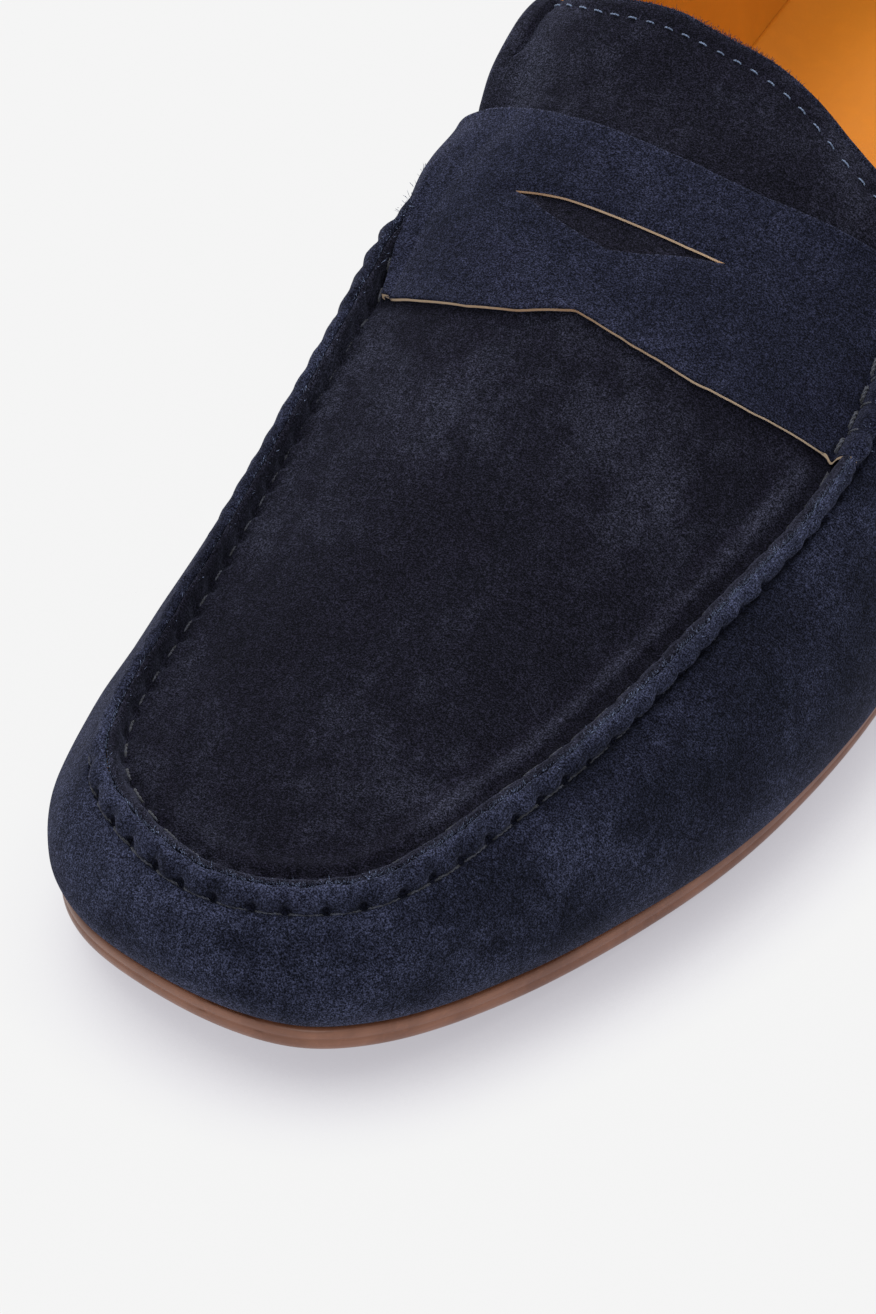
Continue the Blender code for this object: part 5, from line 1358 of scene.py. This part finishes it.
# ---------------------------------------------------------------- stitches
def dash(fn, a, b, radius, dip, n=12, turns=2.5, slack=0.10, ends=(0.06, 0.94)):
    """One visible stitch from hole a to hole b: fn(parameter, lift) gives a point; both ends dip into their holes."""
    t = np.linspace(ends[0], ends[1], n)
    q = a + (b - a) * t
    liftv = -dip + (dip + radius * 0.6 + slack) * np.clip(np.sin(math.pi * (t - ends[0]) / (ends[1] - ends[0])) * 1.6, 0, 1)**0.7
    return twisted(fn(q, liftv), radius, turns)


def outer_foot(u, lift_):
    return wall_vis(u, 0.997 + 0 * u, lift_ - 0.22 - 0.4 * outer_rear(u))


def inner_foot(u, lift_):
    """Along the apron just inside the ridge; on the strap's ends, on the strap itself."""
    p = by_crest(u, foot_in(u) - 0.30, 0.0 * u)
    P = top_shape(p[:, 0], p[:, 1], lift_)
    sgn = side_of(u)
    y = crest(u)[:, 1]
    on = step(-1.0, 0.5, p[:, 1] - np.where(sgn < 0, FRONT_Y[-1] - 1.0, FRONT_Y[1]))[:, None]
    tn = np.interp(y, (108.8, 111, 117, 126, 134), (-2.4, -2.1, -0.95, 0.35, 1.6))
    tz = np.interp(y, (108.8, 111, 117, 126, 134), (-1.6, -1.3, -0.6, -0.5, -1.4))
    q = by_crest(u, np.where(sgn < 0, tn + 0.1, -3.1), np.where(sgn < 0, tz, -0.50) + lift_)
    return P * (1 - on) + q * on


outer_st, inner_st = [], []
for i in range(len(HOLE_U) - 1):
    j = 0.04 * RNG.standard_normal(2)
    um2 = np.array([(HOLE_U[i] + HOLE_U[i + 1]) / 2])
    lat, med, zn = float(outer_rear(um2)[0]), float(inner_side(um2)[0]), float(strap_zone(um2)[0])
    y_ = crest(um2)[0, 1]
    if not (med > 0.5 and y_ > 118):
        outer_st += dash(outer_foot, HOLE_U[i], HOLE_U[i + 1], 0.23, 0.6 + 0.15 * lat, ends=(0.07 + j[0] * 0.5, 0.93 + j[1] * 0.5), slack=-0.05)
    if med > 0.5 and y_ > 128:
        continue
    on = zn > 0.5
    short = 0.30 if on and med > 0.5 else 0.17 + 0.08 * med
    inner_st += dash(inner_foot, HOLE_U[i], HOLE_U[i + 1], 0.28 if on and lat > 0.5 else 0.20, 0.50, ends=(short + j[1] * 0.5, 1 - short + j[0] * 0.5), slack=0.10 * (on and lat > 0.5) - 0.10 * med)
    if on and lat > 0.5:
        # a second short stitch across the end at each hole
        h0 = HOLE_U[i]
        inner_st += dash(lambda t, l: by_crest(h0 + 0 * t, -3.0 + 2.4 * t, -0.55 + 1.75 * t**0.8 + l), 0.0, 1.0, 0.16, 0.3, ends=(0.08, 0.75), slack=0.05)
V, F = join(outer_st + inner_st)
build("apron_seam_stitches", V, F, [dark_thread], ("apron_seam_thread",))


def fine_row(name, fn, holes, node, turns=2.0, radius=0.125, dip=0.22):
    st = []
    for i in range(len(holes) - 1):
        j = 0.02 * RNG.standard_normal(2)
        st += dash(fn, holes[i], holes[i + 1], radius, dip, n=9, turns=turns, ends=(0.27 + j[0], 0.73 + j[1]))
    V, F = join(st)
    return build(name, V, F, [blue_thread], (node,))


fine_row("tongue_stitches", lambda x, l: top_shape(x, tongue_end(x) - TONGUE_ROW, l + 0.06), TONGUE_X, "tongue_thread")
for nm, a, b in (("inner", U_SEAM[-1] + 3.0, U_HEEL - 9.0), ("outer", U_SEAM[1] - 3.0, U_HEEL - PERIOD + 9.0)):
    fine_row("topline_stitches_" + nm, lambda u, l: wall(u, 0.95 + 0 * u, l + 0.1), np.linspace(a, b, int(abs(b - a) / FINE_STITCH) + 1), "topline_thread_" + nm)
vs = np.linspace(0.06, 0.93, 19)
st = []
for sgn in (-1, 1):
    for i in range(len(vs) - 1):
        st += dash(lambda v, l: wall(U_HEEL + sgn * (9.0 - 4.0 * v), v, GAP + 1.15 + l + 0.08), vs[i], vs[i + 1], 0.2, 0.28, n=9, turns=2.0, ends=(0.2, 0.8))
for i in range(3):
    st += dash(lambda w, l: wall(U_HEEL + w, 0.93 + 0 * w, GAP + 1.15 + l + 0.08), -4.5 + 3 * i, -1.5 + 3 * i, 0.2, 0.28, n=9, turns=2.0, ends=(0.2, 0.8))
V, F = join(st)
build("backstay_stitches", V, F, [blue_thread], ("backstay_thread",))
for nm, a in (("inner", U_SEAM[-1] + 2.2), ("outer", U_SEAM[1] - 2.2)):
    fine_row("side_seam_stitches_" + nm, lambda v, l: wall(a + 0 * v, v, l + 0.1), np.linspace(0.05, 0.9, 15), "side_seam_thread_" + nm)

# ---------------------------------------------------------------- loose fibres at the raw edges
def strands(P, D, length, radius, bend=0.35):
    """Short tapered fibres standing at points P along directions D, each a closed three-sided spike with a kink."""
    n_ = len(P)
    L = length[:, None]
    D = unit(D)
    side_ = unit(np.cross(D, RNG.standard_normal((n_, 3))))
    up_ = np.cross(D, side_)
    kink = P + D * L * 0.55 + side_ * L * bend * 0.4
    tip = P + D * L * 0.9 + side_ * L * bend
    V, F = [], []
    for k, th in enumerate((0, 2.094, 4.189)):
        V.append(P - D * 0.1 + (side_ * math.cos(th) + up_ * math.sin(th)) * radius[:, None])
    for k, th in enumerate((0, 2.094, 4.189)):
        V.append(kink + (side_ * math.cos(th) + up_ * math.sin(th)) * radius[:, None] * 0.75)
    V.append(tip)
    V = np.stack(V, 1).reshape(-1, 3)
    for i in range(n_):
        b = i * 7
        F += [(b + 2, b + 1, b), (b, b + 1, b + 4, b + 3), (b + 1, b + 2, b + 5, b + 4), (b + 2, b, b + 3, b + 5), (b + 3, b + 4, b + 6), (b + 4, b + 5, b + 6), (b + 5, b + 3, b + 6)]
    return V, F


n_f = 16000
uf = np.interp(RNG.uniform(-2, _d[-1] + 2, n_f), _d, _u)
uf = uf[RNG.uniform(0, 1, n_f) < np.clip(rawness(uf), 0.05, 1)]
n_f = len(uf)
w = RNG.normal(0.0, 0.40, n_f)
hh = 0.78 - 0.50 * np.abs(w) + 0.26 * noise1(crest_d(uf), 3.3, 5) + 0.16 * noise1(crest_d(uf), 11.0, 6)
P = by_crest(uf, w, hh)
D = np.stack([w, RNG.normal(0, 0.35, n_f), 0.7 + 0 * w], 1)
D = outward(uf) * D[:, :1] * 1.4 + np.cross(outward(uf), UP) * D[:, 1:2] + UP * D[:, 2:]
V, F = strands(P, D, RNG.gamma(3.0, 0.13, n_f) * (1 + 0.4 * strap_zone(uf)), RNG.uniform(0.03, 0.055, n_f))
fz1 = build("apron_seam_raw_fibres", V, F, [raw_blue], attrs={"raw": np.ones(len(V))}, smooth=False)
n_f = 2600
xf = RNG.uniform(-33.0, 26.0, n_f)
yf = tongue_end(xf) + RNG.normal(-0.15, 0.22, n_f)
P = top_shape(xf, yf, RNG.uniform(-1.3, 0.05, n_f), relief=False)
D = np.stack([RNG.normal(0, 0.5, n_f), 1.0 + 0 * xf, RNG.normal(0.35, 0.4, n_f)], 1)
V, F = strands(P, D, RNG.gamma(3.0, 0.14, n_f), RNG.uniform(0.03, 0.05, n_f))
build("tongue_raw_fibres", V, F, [suede_strap_painted_paler], attrs={"raw": np.ones(len(V))}, smooth=False)
n_f = 2600
xf = RNG.uniform(front[0, 0] + 2.0, front[-1, 0] - 5.0, n_f)
P = top_shape(xf, soft_line(front, xf) + RNG.uniform(0.0, 0.3, n_f), GAP + STRAP_T + 0.1 + RNG.uniform(-0.1, 0.15, n_f), relief=False)
D = np.stack([RNG.normal(0, 0.5, n_f), -1.0 + 0 * xf, RNG.normal(0.5, 0.4, n_f)], 1)
V, F = strands(P, D, RNG.gamma(3.0, 0.06, n_f), RNG.uniform(0.02, 0.035, n_f))
build("strap_raw_fibres", V, F, [suede_strap_painted_paler], attrs={"raw": np.ones(len(V))}, smooth=False)

# ---------------------------------------------------------------- hidden layers keep their CAD shape and get real finishes
def plain_mat(name, colour, dark, rough, scale, bump, metallic=0.0):
    m, nt, b = mat(name)
    k = Net(nt)
    a, c = k.noise(scale, 4.0, 0.65), k.noise(scale * 7, 3.0, 0.5)
    k.put(b.inputs["Base Color"], k.mix(k.ramp(k.math("ADD", k.math("MULTIPLY", a, 0.6), k.math("MULTIPLY", c, 0.4)), ((0.38, 0.0), (0.62, 1.0))), dark, colour))
    k.put(b.inputs["Roughness"], k.math("ADD", k.math("MULTIPLY", a, 0.2), rough - 0.1))
    b.inputs["Metallic"].default_value = metallic
    k.put(b.inputs["Normal"], k.bump(a, bump, 0.15))
    return m


for node, look in (("insole_board", plain_mat("insole_board_fibre", (0.42, 0.30, 0.18), (0.30, 0.20, 0.11), 0.85, 0.8, 0.4)),
                   ("forepart_filler", plain_mat("cork_filler", (0.50, 0.31, 0.14), (0.26, 0.14, 0.06), 0.9, 1.6, 0.8)),
                   ("shank", plain_mat("shank_steel", (0.56, 0.57, 0.58), (0.38, 0.38, 0.39), 0.35, 0.6, 0.1, 1.0)),
                   ("heel_pad", plain_mat("heel_foam", (0.72, 0.66, 0.50), (0.58, 0.50, 0.34), 0.95, 0.7, 0.6)),
                   ("counter_stiffener", plain_mat("stiffener_board", (0.55, 0.48, 0.38), (0.42, 0.35, 0.26), 0.85, 0.9, 0.4)),
                   ("toe_stiffener", plain_mat("toe_board", (0.55, 0.48, 0.38), (0.42, 0.35, 0.26), 0.85, 0.9, 0.4))):
    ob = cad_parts[node]
    ob.data.materials.clear()
    ob.data.materials.append(look)

# ---------------------------------------------------------------- floor, light, camera
PAPER = 0.895
fm = bpy.data.materials.new("floor_paper")
fm.use_nodes = True
nt = fm.node_tree
nt.nodes.clear()
k = Net(nt)
out = nt.nodes.new("ShaderNodeOutputMaterial")
add = nt.nodes.new("ShaderNodeAddShader")
em = nt.nodes.new("ShaderNodeEmission")
df = nt.nodes.new("ShaderNodeBsdfDiffuse")
ao = nt.nodes.new("ShaderNodeAmbientOcclusion")
ao.samples = 24
ao.inputs["Distance"].default_value = 0.019
shadow_lean = nt.nodes.new("ShaderNodeCombineXYZ")
for i_, v_ in enumerate((-0.42, 0.58, 0.66)):
    shadow_lean.inputs[i_].default_value = v_
nt.links.new(shadow_lean.outputs[0], ao.inputs["Normal"])
# seamless paper that glows to an even tone, with a painted contact shadow: its glow is darkened by ambient occlusion
# leaned towards the back left, under and in front of the shoe
glow_with_painted_shadow = k.ramp(ao.outputs["AO"], ((0.0, (0.34, 0.325, 0.36)), (0.38, (0.56, 0.545, 0.585)), (0.58, (0.77, 0.76, 0.79)), (0.74, (0.865, 0.862, 0.875)), (0.93, (PAPER, PAPER, PAPER))))
nt.links.new(glow_with_painted_shadow, em.inputs["Color"])
df.inputs["Color"].default_value = (0.012, 0.012, 0.012, 1)
nt.links.new(em.outputs[0], add.inputs[0])
nt.links.new(df.outputs[0], add.inputs[1])
nt.links.new(add.outputs[0], out.inputs["Surface"])
fme = bpy.data.meshes.new("floor")
fme.from_pydata([(-4, -4, 0), (4, -4, 0), (4, 4, 0), (-4, 4, 0)], [], [(0, 1, 2, 3)])
fme.materials.append(fm)
floor = bpy.data.objects.new("floor", fme)
bpy.context.scene.collection.objects.link(floor)

world = bpy.data.worlds.new("studio")
bpy.context.scene.world = world
world.use_nodes = True
bg = world.node_tree.nodes["Background"]
bg.inputs["Color"].default_value = (0.97, 0.985, 1.0, 1)
bg.inputs["Strength"].default_value = 0.55


def area(name, place_, target, size, power, colour=(1, 1, 1)):
    l = bpy.data.lights.new(name, "AREA")
    l.shape = "RECTANGLE"
    l.size, l.size_y = size
    l.energy = power
    l.color = colour
    o = bpy.data.objects.new(name, l)
    bpy.context.scene.collection.objects.link(o)
    o.location = place_
    d = Vector(target) - Vector(place_)
    o.rotation_euler = d.to_track_quat("-Z", "Y").to_euler()
    return o


area("key_softbox", (-0.65, 0.75, 1.10), (0, 0, 0.03), (0.8, 0.8), 13.0)
area("top_softbox", (0.15, 0.1, 1.5), (0, 0, 0.03), (1.3, 1.3), 10.0)
area("front_fill", (0.5, -1.2, 0.7), (0, 0, 0.03), (0.8, 0.6), 3.0)

cam = bpy.data.cameras.new("camera")
cam.lens, cam.sensor_width = 191.8, 36.0
cam_ob = bpy.data.objects.new("camera", cam)
bpy.context.scene.collection.objects.link(cam_ob)
az, el, dist = math.radians(28), math.radians(41), 1.0
target = Vector((-0.00397, -0.08153, 0.025))
back_ = Vector((math.sin(az) * math.cos(el), -math.cos(az) * math.cos(el), math.sin(el)))
cam_ob.location = target + back_ * dist
cam_ob.rotation_euler = (-back_).to_track_quat("-Z", "Y").to_euler()
cam.clip_start, cam.clip_end = 0.05, 50
bpy.context.scene.camera = cam_ob
bpy.context.scene.view_settings.view_transform = "Standard"
bpy.context.scene.view_settings.look = "None"
